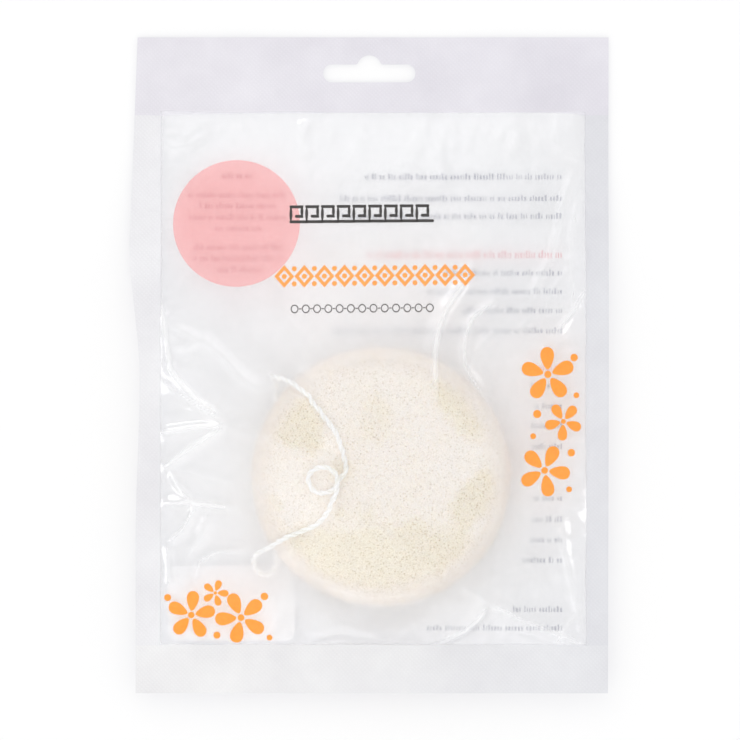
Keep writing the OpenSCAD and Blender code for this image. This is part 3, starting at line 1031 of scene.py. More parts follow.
@dataclass
class Studio:
    """The camera, the lamps, the world and the paper that the pouch lies on. Lengths are metres."""

    aim: Point = (0.00024, -0.0019)
    lens: float = 200.0
    camera_height: float = 1.4275
    world_light: float = 0.755
    paper_half: float = 4.0
    paper_gap: float = 0.0001
    # Each lamp's name, direction, spread in degrees, share of the light, and whether it only glints
    lamps: tuple[tuple[str, Place, float, float, bool], ...] = (
        ("head_window", (-0.22, 0.74, 0.64), 50, 0.1, False),
        ("side_window", (0.75, 0.1, 0.66), 50, 0.03, False),
        ("foot_window", (-0.22, -0.56, 0.8), 60, 0.2, False),
        ("left_panel", (-0.63, -0.44, 0.64), 70, 0.07, True),
        ("head_panel", (-0.1, 0.66, 0.75), 50, 0.05, True),
        ("foot_panel", (0.0, -0.95, 0.3), 50, 0.03, True),
    )
    # Low strips that only steep creases mirror, each with its turn, rise, spread and share
    strips: tuple[tuple[float, float, float, float], ...] = (
        (40, 20, 22, 0.03), (68, 27, 16, 0.025), (92, 16, 22, 0.035), (114, 26, 16, 0.025),
        (140, 19, 22, 0.045), (186, 14, 20, 0.02), (-6, 14, 20, 0.02),
    )

    def make_camera(self) -> None:
        """Makes the camera straight above the pouch, with its header at the top of the picture."""
        data = bpy.data.cameras.new("camera")
        data.lens = self.lens
        data.sensor_width = 36.0
        data.clip_start, data.clip_end = 0.05, 20.0
        camera = link_data("camera", data)
        camera.location = (*self.aim, self.camera_height)
        bpy.context.scene.camera = camera

    def _hang_lamp(self, name: str, towards: Place, spread: float, share: float, glints: bool) -> None:
        """Hangs one broad soft lamp, so far off that it lights the whole pouch evenly.

        Args:
            name: The lamp's name.
            towards: The direction from the pouch to the lamp.
            spread: The angle that it fills, in degrees.
            share: Its part of the light on a level surface, where 1 shows white as white.
            glints: Whether it is there for gloss alone, and not one of the windows that light the pouch.
        """
        lamp = bpy.data.lights.new(name, "SUN")
        away = Vector(towards).normalized()
        lamp.angle = math.radians(spread)
        lamp.energy = math.pi * share / away.z
        holder = link_data(name, lamp)
        holder.location = away
        holder.visible_glossy, holder.visible_diffuse = glints, not glints
        holder.rotation_euler = away.to_track_quat("Z", "Y").to_euler()

    def light(self) -> None:
        """Hangs the lamps and lights the world."""
        for lamp in self.lamps:
            self._hang_lamp(*lamp)
        for number, (turn, rise, spread, share) in enumerate(self.strips):
            a = math.radians(turn)
            towards = (math.cos(a), math.sin(a), math.tan(math.radians(rise)))
            self._hang_lamp(f"strip_light_{number}", towards, spread, share, True)
        self._light_world()

    def _light_world(self) -> None:
        """Makes the world white to the camera and in reflections, and a little dimmer as a light."""
        world = bpy.data.worlds.new("white_studio")
        bpy.context.scene.world = world
        world.use_nodes = True
        tree = world.node_tree
        tree.nodes.clear()
        shown = add_node(tree, "LightPath", {}, "Is Camera Ray")
        rays = shown.node.outputs
        for ray in ("Is Glossy Ray", "Is Transmission Ray"):
            shown = add_node(tree, "Math", {0: shown, 1: rays[ray]}, operation="MAXIMUM")
        strength = add_node(tree, "MapRange", {"Value": shown, "To Min": self.world_light, "To Max": 1.0})
        sky = add_node(tree, "Background", {"Color": (1, 1, 1, 1), "Strength": strength})
        add_node(tree, "OutputWorld", {"Surface": sky})

    def lay_floor(self) -> None:
        """Lays the paper just under the pouch."""
        bm = bmesh.new()
        bmesh.ops.create_grid(bm, x_segments=1, y_segments=1, size=self.paper_half)
        bmesh.ops.translate(bm, verts=bm.verts, vec=(0, 0, -self.paper_gap))
        floor = link_mesh(mesh_from(bm, "floor"))
        floor.data.materials.append(StudioPaper().material())


@dataclass
class HangCord:
    """The cotton cord's free run from one mouth of its bore to the other. Lengths are millimetres."""

    layout: Layout
    diameter: float = 1.8
    length: float = 156.8
    bore_in: float = 36.0
    bore_half: float = 27.556
    bore_up: float = 9.0
    ply_share: float = 0.7
    twist_pitch: float = 6.4
    wobble: float = 0.34
    fuzz: float = 0.06
    sway_seed: int = 5
    spacing: float = 0.34
    ring: int = 20
    upper_run: tuple[Place, ...] = (
        (-36, 29.8, 9), (-36.2, 32, 9.6), (-37, 33.9, 11.6), (-37.6, 34.7, 14.2),
        (-37.4, 34.6, 16.8), (-35.6, 34.2, 19), (-32.9, 33.4, 20.7), (-29.9, 31.9, 22),
        (-26.4, 29.3, 24.4), (-24.4, 27.5, 25.4), (-23.1, 25.2, 25.8), (-20.9, 22.9, 26),
        (-19.1, 20.4, 26.2), (-16.8, 17.5, 26.5), (-15, 14.3, 26.6), (-13.7, 10.8, 26.8),
        (-12.6, 7.4, 26.9), (-11.9, 4.4, 27), (-12.3, 1.9, 27), (-13.8, 0, 27),
    )
    lower_run: tuple[Place, ...] = (
        (-15.4, -5.6, 29.1), (-17, -8.8, 28.3), (-18.4, -11.8, 27.3), (-20.2, -14.4, 26.7),
        (-23, -16.6, 26.2), (-27, -18.4, 25.8), (-31.4, -19.9, 25.2), (-34.4, -21.6, 23.8),
        (-37, -23.3, 22), (-39.6, -24.7, 20.2), (-42, -26.1, 17.8), (-43.5, -28, 15.2),
        (-43.5, -30.6, 12.6), (-41.9, -33, 10.8), (-39.3, -34, 9.7), (-37, -32.6, 9.1),
        (-36.1, -30.2, 9),
    )
    curl_at: Point = (-19.8, -0.8)
    curl_r: Point = (5.0, 4.4)
    curl_turn: Point = (-24.0, -378.0)
    curl_z: Point = (27.0, 29.3)
    curl_rings: int = 20
    line: Array = field(init=False)

    def __post_init__(self) -> None:
        """Draws the smooth centreline through the route's points."""
        mouth = np.array((-self.bore_in, self.bore_half, self.bore_up))
        foot = mouth * (1, -1, 1)
        step = np.array((0, self.diameter, 0))
        share = np.linspace(0, 1, self.curl_rings + 1)
        angle = np.radians(self.curl_turn[0] + (self.curl_turn[1] - self.curl_turn[0]) * share)
        curl = np.stack([
            self.curl_at[0] + self.curl_r[0] * np.cos(angle),
            self.curl_at[1] + self.curl_r[1] * np.sin(angle),
            self.curl_z[0] + (self.curl_z[1] - self.curl_z[0]) * ease(2 * share - 0.9),
        ], axis=1)
        route = np.vstack([
            mouth, mouth + step, np.array(self.upper_run), curl, np.array(self.lower_run), foot - step, foot,
        ])
        self.line = self._smooth(route) + np.array(self.layout.middle)

    def _smooth(self, route: Array) -> Array:
        """Draws an even line through points.

        Args:
            route: The points.
        Returns:
            Points on the smooth line, one spacing apart.
        """
        padded = np.vstack([2 * route[0] - route[1], route, 2 * route[-1] - route[-2]])
        t = np.linspace(0, 1, 12, endpoint=False)[:, None]
        spans = []
        for a, b, c, d in zip(padded, padded[1:], padded[2:], padded[3:]):
            square, cube = 2 * a - 5 * b + 4 * c - d, 3 * b - a - 3 * c + d
            spans.append(0.5 * (2 * b + (c - a) * t + square * t**2 + cube * t**3))
        dense = np.vstack([*spans, route[-1:]])
        run = run_along(dense)
        even = np.linspace(0, run[-1], int(run[-1] / self.spacing) + 1)
        return np.stack([np.interp(even, run, dense[:, k]) for k in range(3)], axis=1)

    def _ply_section(self) -> Piece:
        """Draws the yarn's section: two round plies pressed together.

        Returns:
            The section's closed curve.
        """
        data = bpy.data.curves.new("ply_section", "CURVE")
        data.dimensions = "2D"
        spline = data.splines.new("POLY")
        spline.points.add(self.ring - 1)
        spline.use_cyclic_u = True
        ply, apart = self.ply_share * self.diameter / 2, (1 - self.ply_share) * self.diameter / 2
        for k, point in enumerate(spline.points):
            a = 2 * math.pi * k / self.ring
            r = (apart * abs(math.cos(a)) + math.sqrt(ply**2 - (apart * math.sin(a)) ** 2)) * MM
            point.co = (r * math.cos(a), r * math.sin(a), 0, 1)
        return link_data("ply_section", data)

    def build(self) -> None:
        section = self._ply_section()
        data = bpy.data.curves.new("cord_sweep", "CURVE")
        data.dimensions = "3D"
        data.twist_mode = "MINIMUM"
        data.bevel_mode = "OBJECT"
        data.bevel_object = section
        data.use_fill_caps = True
        spline = data.splines.new("POLY")
        spline.points.add(len(self.line) - 1)
        for k, (point, place) in enumerate(zip(spline.points, self.line)):
            point.co = (*(place * MM), 1)
            point.tilt = 2 * math.pi * k * self.spacing / self.twist_pitch
        sweep = link_data("cord_sweep", data)
        mesh = bpy.data.meshes.new_from_object(sweep.evaluated_get(bpy.context.evaluated_depsgraph_get()))
        for helper in (sweep, section):
            bpy.data.objects.remove(helper)
        bm = bmesh.new()
        bm.from_mesh(mesh)
        bmesh.ops.remove_doubles(bm, verts=bm.verts, dist=1e-7)
        bmesh.ops.recalc_face_normals(bm, faces=bm.faces)
        mesh = mesh_from(bm, "cotton_cord")
        self._fray(mesh)
        cord = link_mesh(mesh)
        finish_piece(cord, CONTENTS, CottonCord().material(), ("hang_cord",))

    def _fray(self, mesh: Mesh) -> None:
        """Roughens the yarn's surface with fibre and marks the grooves between its plies for their painted
        shade.

        Args:
            mesh: The yarn.
        """
        points = get_points(mesh)
        nearest = np.array([np.argmin(((self.line - p) ** 2).sum(axis=1)) for p in points])
        spoke = points - self.line[nearest]
        off = np.linalg.norm(spoke, axis=1)
        fuzz = np.array([noise.noise(Vector(p * 2.2)) for p in points]) * self.fuzz
        # Unseeded, Blender's vector noise is another one in each run
        noise.seed_set(self.sway_seed)
        sway = np.array([noise.noise_vector(Vector(p / 2.5)) for p in self.line])[nearest] * self.wobble
        set_points(mesh, points + spoke / np.maximum(off, 0.2)[:, None] * fuzz[:, None] + sway)
        # The grooves' painted shade grows from the plies' outside in towards the centreline
        outer, inner = self.diameter / 2, self.diameter / 4
        set_share(mesh, "painted_groove_shade", np.clip((outer - off) / (outer - inner), 0, 1))


@dataclass
class Sponge:
    """The konjac sponge: a domed round puff with a flat back. Lengths are millimetres."""

    layout: Layout
    subdivisions: int = 7
    lump: float = 0.28
    pit_depth: float = 0.34
    pit_shade: float = 0.55
    mouth_depth: float = 1.3
    mouth_reach: float = 3.2
    mouths: tuple[Place, ...] = ((-36.0, 26.2, 9.0), (-36.0, -26.2, 9.0))
    # Each kind of pore: its spacing, the share of them that open, and its size in spacings
    pores: tuple[Place, ...] = ((1.25, 0.55, 0.34), (2.875, 0.35, 0.24))

    def _section(self) -> Array:
        """Draws the sponge's half section, from its crown to the middle of its back.

        Returns:
            A row of radius and height for each point.
        """
        lay = self.layout
        r = np.linspace(0, lay.radius - lay.front_round, 40)
        parts = [np.stack([r, lay.dome(r)], axis=1)]
        for turn, size, up in (
            (np.linspace(math.pi / 2, 0, 30), lay.front_round, lay.height - lay.crown - lay.front_round),
            (np.linspace(0, -math.pi / 2, 30), lay.back_round, lay.back_round),
        ):
            out, rise = lay.radius - size + size * np.cos(turn), up + size * np.sin(turn)
            parts.append(np.stack([out, rise], axis=1))
        return np.vstack([parts[0], parts[1][1:], parts[2], [[0, 0]]])

    def _fine_ball(self) -> Mesh:
        """Makes a ball with finer faces on the front, where the pores show.

        Returns:
            The ball.
        """
        bm = bmesh.new()
        bmesh.ops.create_icosphere(bm, subdivisions=self.subdivisions, radius=1.0)
        front = [f for f in bm.faces if f.calc_center_median().z > 0.28]
        edges = list({e for f in front for e in f.edges})
        bmesh.ops.subdivide_edges(bm, edges=edges, cuts=1, use_grid_fill=True)
        bmesh.ops.triangulate(bm, faces=[f for f in bm.faces if len(f.verts) > 3])
        return mesh_from(bm, "konjac_sponge")

    def build(self) -> None:
        """Shapes a ball to the sponge's section, with its pores and a dent at each of the cord's mouths."""
        mesh = self._fine_ball()
        ball = get_points(mesh)
        ball /= np.linalg.norm(ball, axis=1)[:, None]
        line = self._section()
        run = run_along(line)
        around = np.arctan2(ball[:, 1], ball[:, 0])
        at = np.arccos(np.clip(ball[:, 2], -1, 1)) / math.pi * run[-1]
        r, z = np.interp(at, run, line[:, 0]), np.interp(at, run, line[:, 1])
        points = np.stack([r * np.cos(around), r * np.sin(around), z], axis=1)
        out = -np.interp(at, run, np.gradient(line[:, 1], run))
        up = np.interp(at, run, np.gradient(line[:, 0], run))
        normal = np.stack([out * np.cos(around), out * np.sin(around), up], axis=1)
        normal /= np.maximum(np.linalg.norm(normal, axis=1), 1e-9)[:, None]
        lumps = np.array([noise.noise(Vector(p / 13)) + 0.5 * noise.noise(Vector(p / 5)) for p in points])
        pits = self._pits(points)
        off_back = ease((z - 0.2) / 2.5)
        shift = self.lump * lumps * off_back - self.pit_depth * pits * (0.35 + 0.65 * off_back)
        for mouth in self.mouths:
            off = np.linalg.norm(points - np.array(mouth), axis=1)
            shift = shift - self.mouth_depth * np.exp(-((off / self.mouth_reach) ** 2))
        points = points + normal * shift[:, None]
        points[:, 2] = np.maximum(points[:, 2], 0.0)
        set_points(mesh, points + np.array(self.layout.middle))
        # Painted shade at the bottom of each pore, as deep as the pit
        set_share(mesh, "painted_pore_shade", pits * self.pit_shade)
        # Where the rim's painted shade lies: over the rounding of the front, not near the back
        set_share(mesh, "rim", np.clip(ease((r - self.layout.radius + 12) / 12) * ease((z - 2) / 8), 0, 1))
        finish_piece(link_mesh(mesh), CONTENTS, KonjacFoam().material(), ("sponge",))

    def _pits(self, points: Array) -> Array:
        """Finds how deep points are in a pore.

        Args:
            points: Places on the sponge's skin.
        Returns:
            0 on the skin to 1 at a pore's bottom.
        """
        depth = np.zeros(len(points))
        for spacing, share, size in self.pores:
            for k, p in enumerate(points):
                near, cells = noise.voronoi(Vector(p / spacing))
                cell = cells[0]
                luck = (math.sin(cell.x * 12.9898 + cell.y * 78.233 + cell.z * 37.719) * 43758.5453) % 1.0
                if luck < share:
                    depth[k] = max(depth[k], float(ease(1 - near[0] / (size * (0.5 + luck)))))
        return depth


@dataclass
class PouchFilm:
    """The pouch's clear front and back, between its seals and a little way into the header."""

    drape: Drape
    run_on: float = 1.6
    header_tuck: float = 0.06
    slack: float = 4.0
    back_lift: float = 0.4
    clear_room: float = 26.0

    def build(self) -> None:
        """Builds and dresses both sheets."""
        finish, lay = FilmPlastic().material(), self.drape.layout
        for name, heights, side, node, rests in (
            ("front_film", self.drape.front, 1, "front_sheet", {"rests_on": ["konjac_sponge"]}),
            ("back_film", self.drape.back, -1, "back_sheet", {}),
        ):
            piece = self._sheet(name, heights, side)
            finish_piece(piece, POUCH, finish, (node,))

    def _sheet(self, name: str, heights: Array, side: int) -> Piece:
        """Builds one sheet as a fine grid on its heights, with a wall.

        Args:
            name: The sheet's name.
            heights: The heights of the side that faces the sponge.
            side: 1 where the wall lies above those heights, -1 where it lies below.
        Returns:
            The sheet.
        """
        drape, lay = self.drape, self.drape.layout
        bm = bmesh.new()
        bmesh.ops.create_grid(bm, x_segments=drape.columns, y_segments=drape.rows, size=0.5 * MM)
        mesh = mesh_from(bm, name)
        unit = get_points(mesh)
        x, y = (
            low + (unit[:, k] + 0.5) * (high - low)
            for k, (low, high) in enumerate(zip(lay.window_low, lay.window_high))
        )
        z = drape.sample(heights, x, y)
        into_header = y > lay.window_high[1] - 0.01
        y, z = y + self.run_on * into_header, z - self.header_tuck * side * into_header
        set_points(mesh, np.stack([x, y, z], axis=1))
        lifted = 1 - drape.sample(drape.touching, x, y)
        room = drape.sample(drape.front - drape.back, x, y)
        depth = np.where(lay.off_axis(x, y) < lay.radius - 4, 0.0, room)
        set_share(mesh, "lifted", lifted if side > 0 else np.full(len(x), self.back_lift))
        # The front sheet's crease whitening and painted highlight along the crests
        set_share(mesh, "crease_whitening_and_highlight", drape.sample(drape.crease_whitening_and_highlight, x, y) if side > 0 else np.zeros(len(x)))
        set_share(mesh, "gap", lifted * (0.1 + 0.9 * ease(depth / self.clear_room)))
        piece = link_mesh(mesh)
        thicken(piece, lay.sheet, side)
        return piece


@dataclass
class SealBands:
    """The header and the three narrow seals, cut fine from their CAD nodes so that they can wave."""

    drape: Drape
    step: float = 3.0
    lap: float = 0.4
    proud: float = 0.03
    header_gap: float = 1.0
    near: float = 0.1
    # Each node's finish: its tint at the left and at the right
    tints: tuple[tuple[str, str, str], ...] = (
        ("header_seal", "#EAE8ED", "#E7E5EB"), ("bottom_seal", "#F3F3F2", "#E8E9EB"),
        ("left_seal", "#F0F0F1", "#F0F0F1"), ("right_seal", "#E3E4E7", "#E3E4E7"),
    )

    def build(self) -> None:
        """Builds and dresses the four bands."""
        for node, left, right in self.tints:
            self._band(node, HeatSeal(f"frosted_{node}", left, right))

    def _band(self, node: str, finish: HeatSeal) -> None:
        """Cuts a copy of a seal's solid into a fine grid, lays it on the seal plane and dresses it.

        Args:
            node: The seal's CAD node.
            finish: Its finish.
        """
        lay = self.drape.layout
        bm = bmesh.new()
        bm.from_mesh(frame["nodes"][node].data)
        bmesh.ops.remove_doubles(bm, verts=bm.verts, dist=2e-6)
        flats = [
            e for e in bm.edges if e.calc_face_angle(1.0) < 0.01 and abs(e.link_faces[0].normal.z) < 0.5
        ]
        bmesh.ops.dissolve_edges(bm, edges=flats)
        low, high = box_mm(node)
        for axis in (0, 1):
            cuts = range(1, int((high[axis] - low[axis]) / self.step) + 1)
            slice_across(bm, axis, ((low[axis] + k * self.step) * MM for k in cuts), 1e-6)
        mesh = mesh_from(bm, f"{node}_band")
        points = get_points(mesh)
        plane = lay.seal_plane(points[:, 0], points[:, 1])
        upper = points[:, 2] > plane - lay.waves(points[:, 0], points[:, 1])
        points[:, 2] = plane + np.where(upper, lay.sheet, -lay.sheet)
        set_points(mesh, self._lapped(points, upper, 0 if node in ("left_seal", "right_seal") else 1))
        band = link_mesh(mesh)
        mesh.set_sharp_from_angle(angle=math.radians(40))
        finish_piece(band, POUCH, finish.material(), (node,))

    def _lapped(self, points: Array, upper: Array, axis: int) -> Array:
        """Carries a seal's inner side over the sheets to a wavy line, a little further on the back.

        Args:
            points: The seal's points.
            upper: Which of them are on its upper side.
            axis: 0 for an upright seal, 1 for a level one.
        Returns:
            The points, with those along the window moved.
        """
        lay, out, near = self.drape.layout, points.copy(), self.near
        x, y = points[:, 0], points[:, 1]
        (x0, y0), (x1, y1) = lay.window_low, lay.window_high
        beside = (x > x0 - near) & (x < x1 + near) & (y > y0 - near) & (y < y1 + near)
        ragged = self.lap * (1 + 0.4 * swell(x, y, 11, 51) + 0.3 * swell(x, y, 4, 52))
        # The header's bar ended higher than the other seals, but for its two ends
        at_left, at_right = np.exp(-(x - x0) / 25), np.exp(-(x1 - x) / 4)
        header = ragged + self.header_gap * (1.5 * at_left - 1.6 * (1 - at_right))
        sides = ((x0, ragged), (x1, -ragged)) if axis == 0 else ((y0, ragged), (y1, -header))
        for line, inward in sides:
            on = beside & (np.abs(points[:, axis] - line) < near)
            out[on, axis] += (inward * np.where(upper, 0.7, 1.3))[on]
        moved = np.any(out != points, axis=1)
        proud = self.proud * (1 if axis else 2)
        above = self.drape.sample(self.drape.front, out[:, 0], out[:, 1]) + lay.sheet + proud
        below = self.drape.sample(self.drape.back, out[:, 0], out[:, 1]) - lay.sheet - proud
        out[moved, 2] = np.where(upper, above, below)[moved]
        return out


class Face(Enum):
    """The face of the pouch that a print or label is on."""

    FRONT = 1
    BACK = -1


@dataclass
class Printing:
    """The pouch's printed decoration: a disc, blossoms and ornament rows in front, plain marks behind.

    Places and sizes are millimetres.
    """

    drape: Drape
    ink_depth: float = 0.03
    tilt: float = 0.5
    mark_gap: float = 0.45
    group_gap: float = 0.8
    right_end: float = 66.6
    # Each blossom's middle, radius and turn, and each bead's middle and radius
    blossoms: tuple[tuple[Point, float, float], ...] = (
        ((61.4, -3.4), 9.4, 20), ((66.8, -19.6), 6.6, 50), ((60.2, -36.4), 9.0, -8),
        ((-61.4, -86.4), 8.4, 12), ((-44.2, -87.2), 9.0, 40), ((-53.0, -78.6), 4.6, 70),
    )
    beads: tuple[tuple[Point, float], ...] = (
        ((70.6, 2.4), 1.3), ((71.4, -10.6), 1.0), ((57.6, -17.0), 1.4), ((56.2, -24.6), 1.0),
        ((69.6, -30.4), 1.3), ((68.8, -43.0), 1.0), ((-36.0, -79.6), 1.3), ((-69.6, -80.4), 1.2),
        ((-52.6, -93.4), 1.2), ((-34.4, -94.2), 1.0),
    )
    # Height and length of each row of marks: flush right, behind the disc, and the headings
    back_rows: tuple[Point, ...] = (
        (64.9, 69.0), (57.4, 76.8), (51.2, 76.0),
        (31.5, 41.7), (25.1, 46.0), (18.5, 34.0), (11.5, 78.0), (-7.6, 10.4), (-14.6, 10.4), (-21.4, 10.4),
        (-28.6, 10.4), (-46.4, 9.6), (-53.8, 10.2), (-60.8, 11.2), (-67.8, 13.4), (-84.8, 16.8),
        (-91.2, 47.4),
    )
    disc_rows: tuple[Point, ...] = (
        (65.2, 10), (58.6, 33), (54.8, 26), (50.8, 33), (47.0, 16), (40.4, 31), (36.6, 31), (32.6, 16),
    )
    headings: tuple[Point, ...] = ((37.8, 67.0), (-1.4, 11.4))

    def drape_flat(
        self, bm: Shapes, name: str, face: Face, depth: float, off: float, large: bool = True
    ) -> Piece:
        """Lays flat shapes on one of the sheets.

        Args:
            bm: The flat shapes, in millimetres.
            name: The piece's name.
            face: The sheet that carries them.
            depth: Their thickness.
            off: How far they stand off the sheet.
            large: Whether they are larger than the sheet's grid, so that they are cut to bend with it.
        Returns:
            The piece.
        """
        drape = self.drape
        bmesh.ops.recalc_face_normals(bm, faces=bm.faces)
        bmesh.ops.reverse_faces(bm, faces=[f for f in bm.faces if f.normal.z < 0])
        reach = [(min(v.co[k] for v in bm.verts), max(v.co[k] for v in bm.verts)) for k in (0, 1)]
        for axis, lines in enumerate((drape.x, drape.y)):
            low, high = reach[axis]
            slice_across(bm, axis, lines[(lines > low) & (lines < high) & large], 1e-4)
        mesh = mesh_from(bm, name)
        points = get_points(mesh) * MM
        heights = drape.front if face is Face.FRONT else drape.back
        z = drape.sample(heights, points[:, 0], points[:, 1])
        points[:, 2] = z + face.value * (drape.layout.sheet + off)
        set_points(mesh, points)
        piece = link_mesh(mesh)
        thicken(piece, depth, face.value)
        return piece

    def _print_front(self, bm: Shapes, name: str, ink: PrintInk, off: float = 0.1) -> None:
        """Lays shapes on the front sheet in one ink."""
        piece = self.drape_flat(bm, name, Face.FRONT, self.ink_depth, off)
        finish_piece(piece, POUCH, ink.material())

    def _print_back(self, bm: Shapes, name: str, ink: PrintInk) -> None:
        """Lays small marks under the back sheet in one ink."""
        piece = self.drape_flat(bm, name, Face.BACK, self.ink_depth, 0.02, False)
        finish_piece(piece, POUCH, ink.material())

    def _oval(self, bm: Shapes, at: Point, half: Point, turn: float = 0.0, pinch: float = 0.0) -> None:
        """Adds a filled oval, drawn in towards its foot by pinch.

        Args:
            bm: The shapes so far.
            at: The oval's centre.
            half: Half its length and half its width.
            turn: Its turn in degrees.
            pinch: How much narrower its foot is than its head.
        """
        made = bmesh.ops.create_circle(bm, cap_ends=True, segments=28, radius=1.0)["verts"]
        for v in made:
            v.co.y *= 1 - pinch * (0.5 - 0.5 * v.co.x)
        bmesh.ops.scale(bm, verts=made, vec=(*half, 1))
        self._put(bm, made, at, turn)

    def _bar(self, bm: Shapes, at: Point, size: Point) -> None:
        """Adds a bar with round ends, of a size along and across it.

        Args:
            bm: The shapes so far.
            at: The bar's centre.
            size: Its length and its width.
        """
        made = add_box(bm, size)
        rounded = bmesh.ops.bevel(
            bm, geom=made, offset=size[1] * 0.46, affect="VERTICES", segments=4, profile=0.5, material=-1
        )["verts"]
        self._put(bm, rounded, at)

    def _ring(self, bm: Shapes, at: Point, half: Point, stroke: float, corners: int) -> None:
        """Adds a ring of a stroke's width.

        Args:
            bm: The shapes so far.
            at: The ring's centre.
            half: Half its length and half its height.
            stroke: The stroke's width.
            corners: 4 for a lozenge, many for a round ring.
        """
        made = bmesh.ops.create_circle(bm, cap_ends=True, segments=corners, radius=half[1])["verts"]
        face = made[0].link_faces[0]
        bmesh.ops.inset_individual(bm, faces=[face], thickness=stroke, use_even_offset=True)
        verts = list({*made, *face.verts})
        bmesh.ops.delete(bm, geom=[face], context="FACES_ONLY")
        bmesh.ops.scale(bm, verts=verts, vec=(half[0] / half[1], 1, 1))
        self._put(bm, verts, at)

    def _put(self, bm: Shapes, verts: list[bmesh.types.BMVert], at: Point, turn: float = 0.0) -> None:
        """Turns a shape about its centre and moves it to its place.

        Args:
            bm: The shapes so far.
            verts: The shape's points, about the origin.
            at: Its place.
            turn: Its turn in degrees.
        """
        turned = Matrix.Rotation(math.radians(turn), 3, "Z")
        bmesh.ops.rotate(bm, verts=verts, cent=(0, 0, 0), matrix=turned)
        bmesh.ops.translate(bm, verts=verts, vec=(*at, 0))

    def _row(self, start: Point, pitch: float, count: int) -> list[Point]:
        """Even places along a row that starts at a point and rises slightly to the right."""
        slope = math.tan(math.radians(self.tilt))
        return [(start[0] + k * pitch, start[1] + k * pitch * slope) for k in range(count)]

    def make_disc(self) -> None:
        """The large pale disc at the upper left, in thin ink that shows the back's print through it."""
        bm = bmesh.new()
        made = bmesh.ops.create_circle(bm, cap_ends=True, segments=128, radius=22.0)["verts"]
        self._put(bm, made, (-45.9, 48.7))
        self._print_front(bm, "print_disc", PrintInk("coral_ink", "#FFA9A8", 0.48, 0.01), 0.05)

    def make_dark_row(self) -> None:
        """A dark key fret: hooked bars on a base line."""
        bm = bmesh.new()
        pitch, line = 5.42, 1.0
        hook = (
            ((pitch / 2, -2.6), (pitch + line, line)), ((0.0, 0.0), (line, 5.2 + line)),
            ((1.9, 2.6), (3.8 + line, line)), ((3.8, 0.95), (line, 3.3 + line)),
            ((2.85, -0.7), (1.9 + line, line)),
        )
        for x, y in self._row((-27.0, 51.7), pitch, 9):
            for at, size in hook:
                self._bar(bm, (x + at[0], y + at[1]), size)
        self._print_front(bm, "print_dark_row", PrintInk("charcoal_ink", "#33302F", 0.98))

    def make_orange_row(self) -> None:
        """A bold orange chain of lozenges with beads between them."""
        bm = bmesh.new()
        pitch, bead = 6.9, 0.85
        for number, (x, y) in enumerate(self._row((-29.2, 30.2), pitch, 10)):
            self._ring(bm, (x, y), (3.4, 3.9), 1.2, 4)
            self._oval(bm, (x, y), (bead, bead))
            for rise in (-2.6, 2.6) if number else ():
                self._oval(bm, (x - pitch / 2, y + rise), (bead, bead))
        self._print_front(bm, "print_orange_row", PrintInk("tangerine_ink", "#FCA552", 0.97))

    def make_fine_row(self) -> None:
        """A fine grey row of small rings joined by short dashes."""
        bm = bmesh.new()
        pitch, line = 3.86, 0.36
        for number, (x, y) in enumerate(self._row((-25.6, 19.0), pitch, 13)):
            self._ring(bm, (x, y), (1.35, 1.5), line, 16)
            if number:
                self._bar(bm, (x - pitch / 2, y), (0.9, line))
        self._print_front(bm, "print_fine_row", PrintInk("grey_ink", "#5E5B5A", 0.98))

    def _blossom(self, bm: Shapes, at: Point, size: float, turn: float) -> None:
        """Adds a plain five-petalled blossom with a round heart.

        Args:
            bm: The shapes so far.
            at: The blossom's middle.
            size: Its radius.
            turn: Its turn in degrees.
        """
        reach, heart = size * 0.59, size * 0.13
        for k in range(5):
            a = math.radians(turn + 72 * k)
            centre = (at[0] + reach * math.cos(a), at[1] + reach * math.sin(a))
            self._oval(bm, centre, (size * 0.41, size * 0.33), turn + 72 * k, 0.55)
        self._oval(bm, at, (heart, heart))

    def make_blossoms(self) -> None:
        """The orange blossoms and beads, in a cluster at the right and another at the lower left."""
        bm = bmesh.new()
        for at, size, turn in self.blossoms:
            self._blossom(bm, at, size, turn)
        for at, r in self.beads:
            self._oval(bm, at, (r, r))
        self._print_front(bm, "print_blossoms", PrintInk("orange_ink", "#FFA038", 0.97))

    def make_back_rows(self) -> None:
        """Rows of plain marks on the back, where such a pouch carries its small print."""
        rng = np.random.default_rng(77)
        bm = bmesh.new()
        for y, width in self.back_rows:
            self._marks(bm, rng, self.right_end, y, width, 1.5)
        for y, width in self.disc_rows:
            self._marks(bm, rng, -45.6 + width / 2, y, width, 1.5)
        self._print_back(bm, "print_back_rows", PrintInk("slate_ink", "#4D5375", 0.95))
        bm = bmesh.new()
        for y, width in self.headings:
            self._marks(bm, rng, self.right_end, y, width, 1.9)
        self._print_back(bm, "print_back_headings", PrintInk("rose_ink", "#F07C80", 0.95))

    def _marks(
        self, bm: Shapes, rng: np.random.Generator, right: float, y: float, width: float, height: float
    ) -> None:
        """Adds a row of plain upright marks in uneven groups, flush right.

        Args:
            bm: The shapes so far.
            rng: The source of the sizes.
            right: The row's right end.
            y: Its middle.
            width: Its length.
            height: The marks' height.
        """
        at = right
        while at > right - width:
            for _ in range(rng.integers(2, 9)):
                if at < right - width:
                    break
                wide = rng.uniform(0.3, 0.75)
                tall = height * (1.4 if rng.random() < 0.22 else 1.0)
                self._put(bm, add_box(bm, (wide, tall)), (at - wide / 2, y + (tall - height) / 2))
                at -= wide + self.mark_gap
            at -= self.group_gap


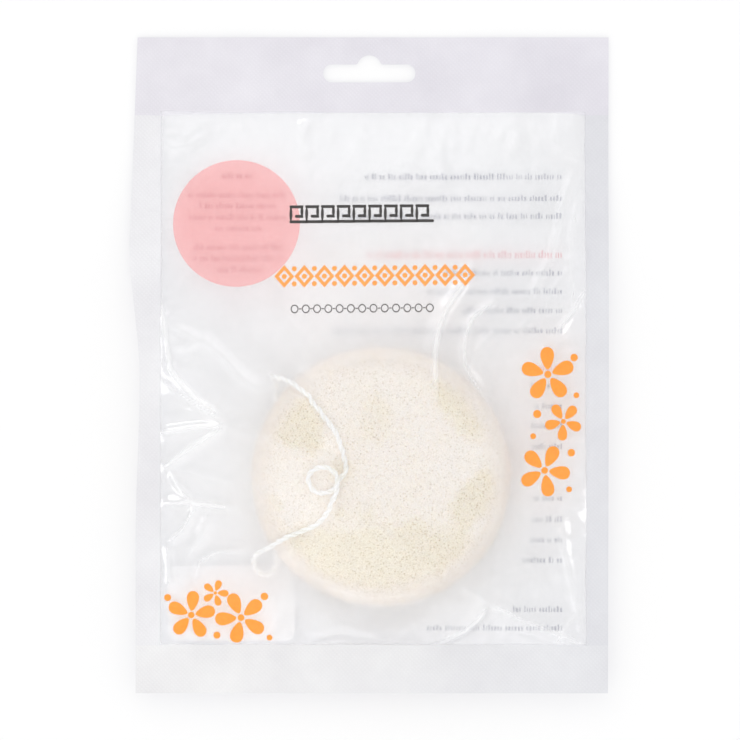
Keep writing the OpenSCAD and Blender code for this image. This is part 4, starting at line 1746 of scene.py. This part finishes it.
def add_box(bm: Shapes, size: Point) -> list[bmesh.types.BMVert]:
    """Adds a flat rectangle about the origin.

    Args:
        bm: The shapes so far.
        size: Its length and its width.
    Returns:
        Its corners.
    """
    made = bmesh.ops.create_grid(bm, x_segments=1, y_segments=1, size=0.5)["verts"]
    bmesh.ops.scale(bm, verts=made, vec=(*size, 1))
    return made


@dataclass
class BackLabel:
    """The blank white label at the back's lower left corner. Lengths are millimetres."""

    printing: Printing
    low: Point = (-69.4, -95.4)
    high: Point = (-25.8, -69.6)
    corner: float = 3.0
    thickness: float = 0.08

    def build(self) -> None:
        """Cuts the label with round corners and lays it under the back sheet."""
        bm = bmesh.new()
        (x0, y0), (x1, y1) = self.low, self.high
        made = add_box(bm, (x1 - x0, y1 - y0))
        bmesh.ops.bevel(
            bm, geom=made, offset=self.corner, affect="VERTICES", segments=6, profile=0.5, material=-1
        )
        bmesh.ops.translate(bm, verts=bm.verts, vec=((x1 + x0) / 2, (y1 + y0) / 2, 0))
        label = self.printing.drape_flat(bm, "blank_label", Face.BACK, self.thickness, 0.05)
        finish_piece(label, POUCH, LabelStock().material(), ("back_label",))


def dress_threaded_cord() -> None:
    """Dresses the cord's threaded run and its knot, which keep their CAD form, in the yarn's finish."""
    yarn = CottonCord("threaded_cotton_yarn").material()
    for node in ("cord_stitch", "cord_knot"):
        frame["nodes"][node].data.materials.clear()
        frame["nodes"][node].data.materials.append(yarn)
        log.info("%s keeps its CAD form", node)


def main() -> None:
    """Builds the studio and every piece, in order."""
    logging.basicConfig(level=logging.INFO, format="%(message)s")
    bpy.context.scene.view_settings.view_transform = "Standard"
    layout = Layout.from_frame()
    studio = Studio()
    studio.make_camera()
    cord = HangCord(layout)
    cord.build()
    Sponge(layout).build()
    dress_threaded_cord()
    drape = Drape(layout, cord.line)
    PouchFilm(drape).build()
    SealBands(drape).build()
    printing = Printing(drape)
    printing.make_disc()
    printing.make_dark_row()
    printing.make_orange_row()
    printing.make_fine_row()
    printing.make_blossoms()
    printing.make_back_rows()
    BackLabel(printing).build()
    studio.light()
    studio.lay_floor()


if __name__ == "__main__":
    main()
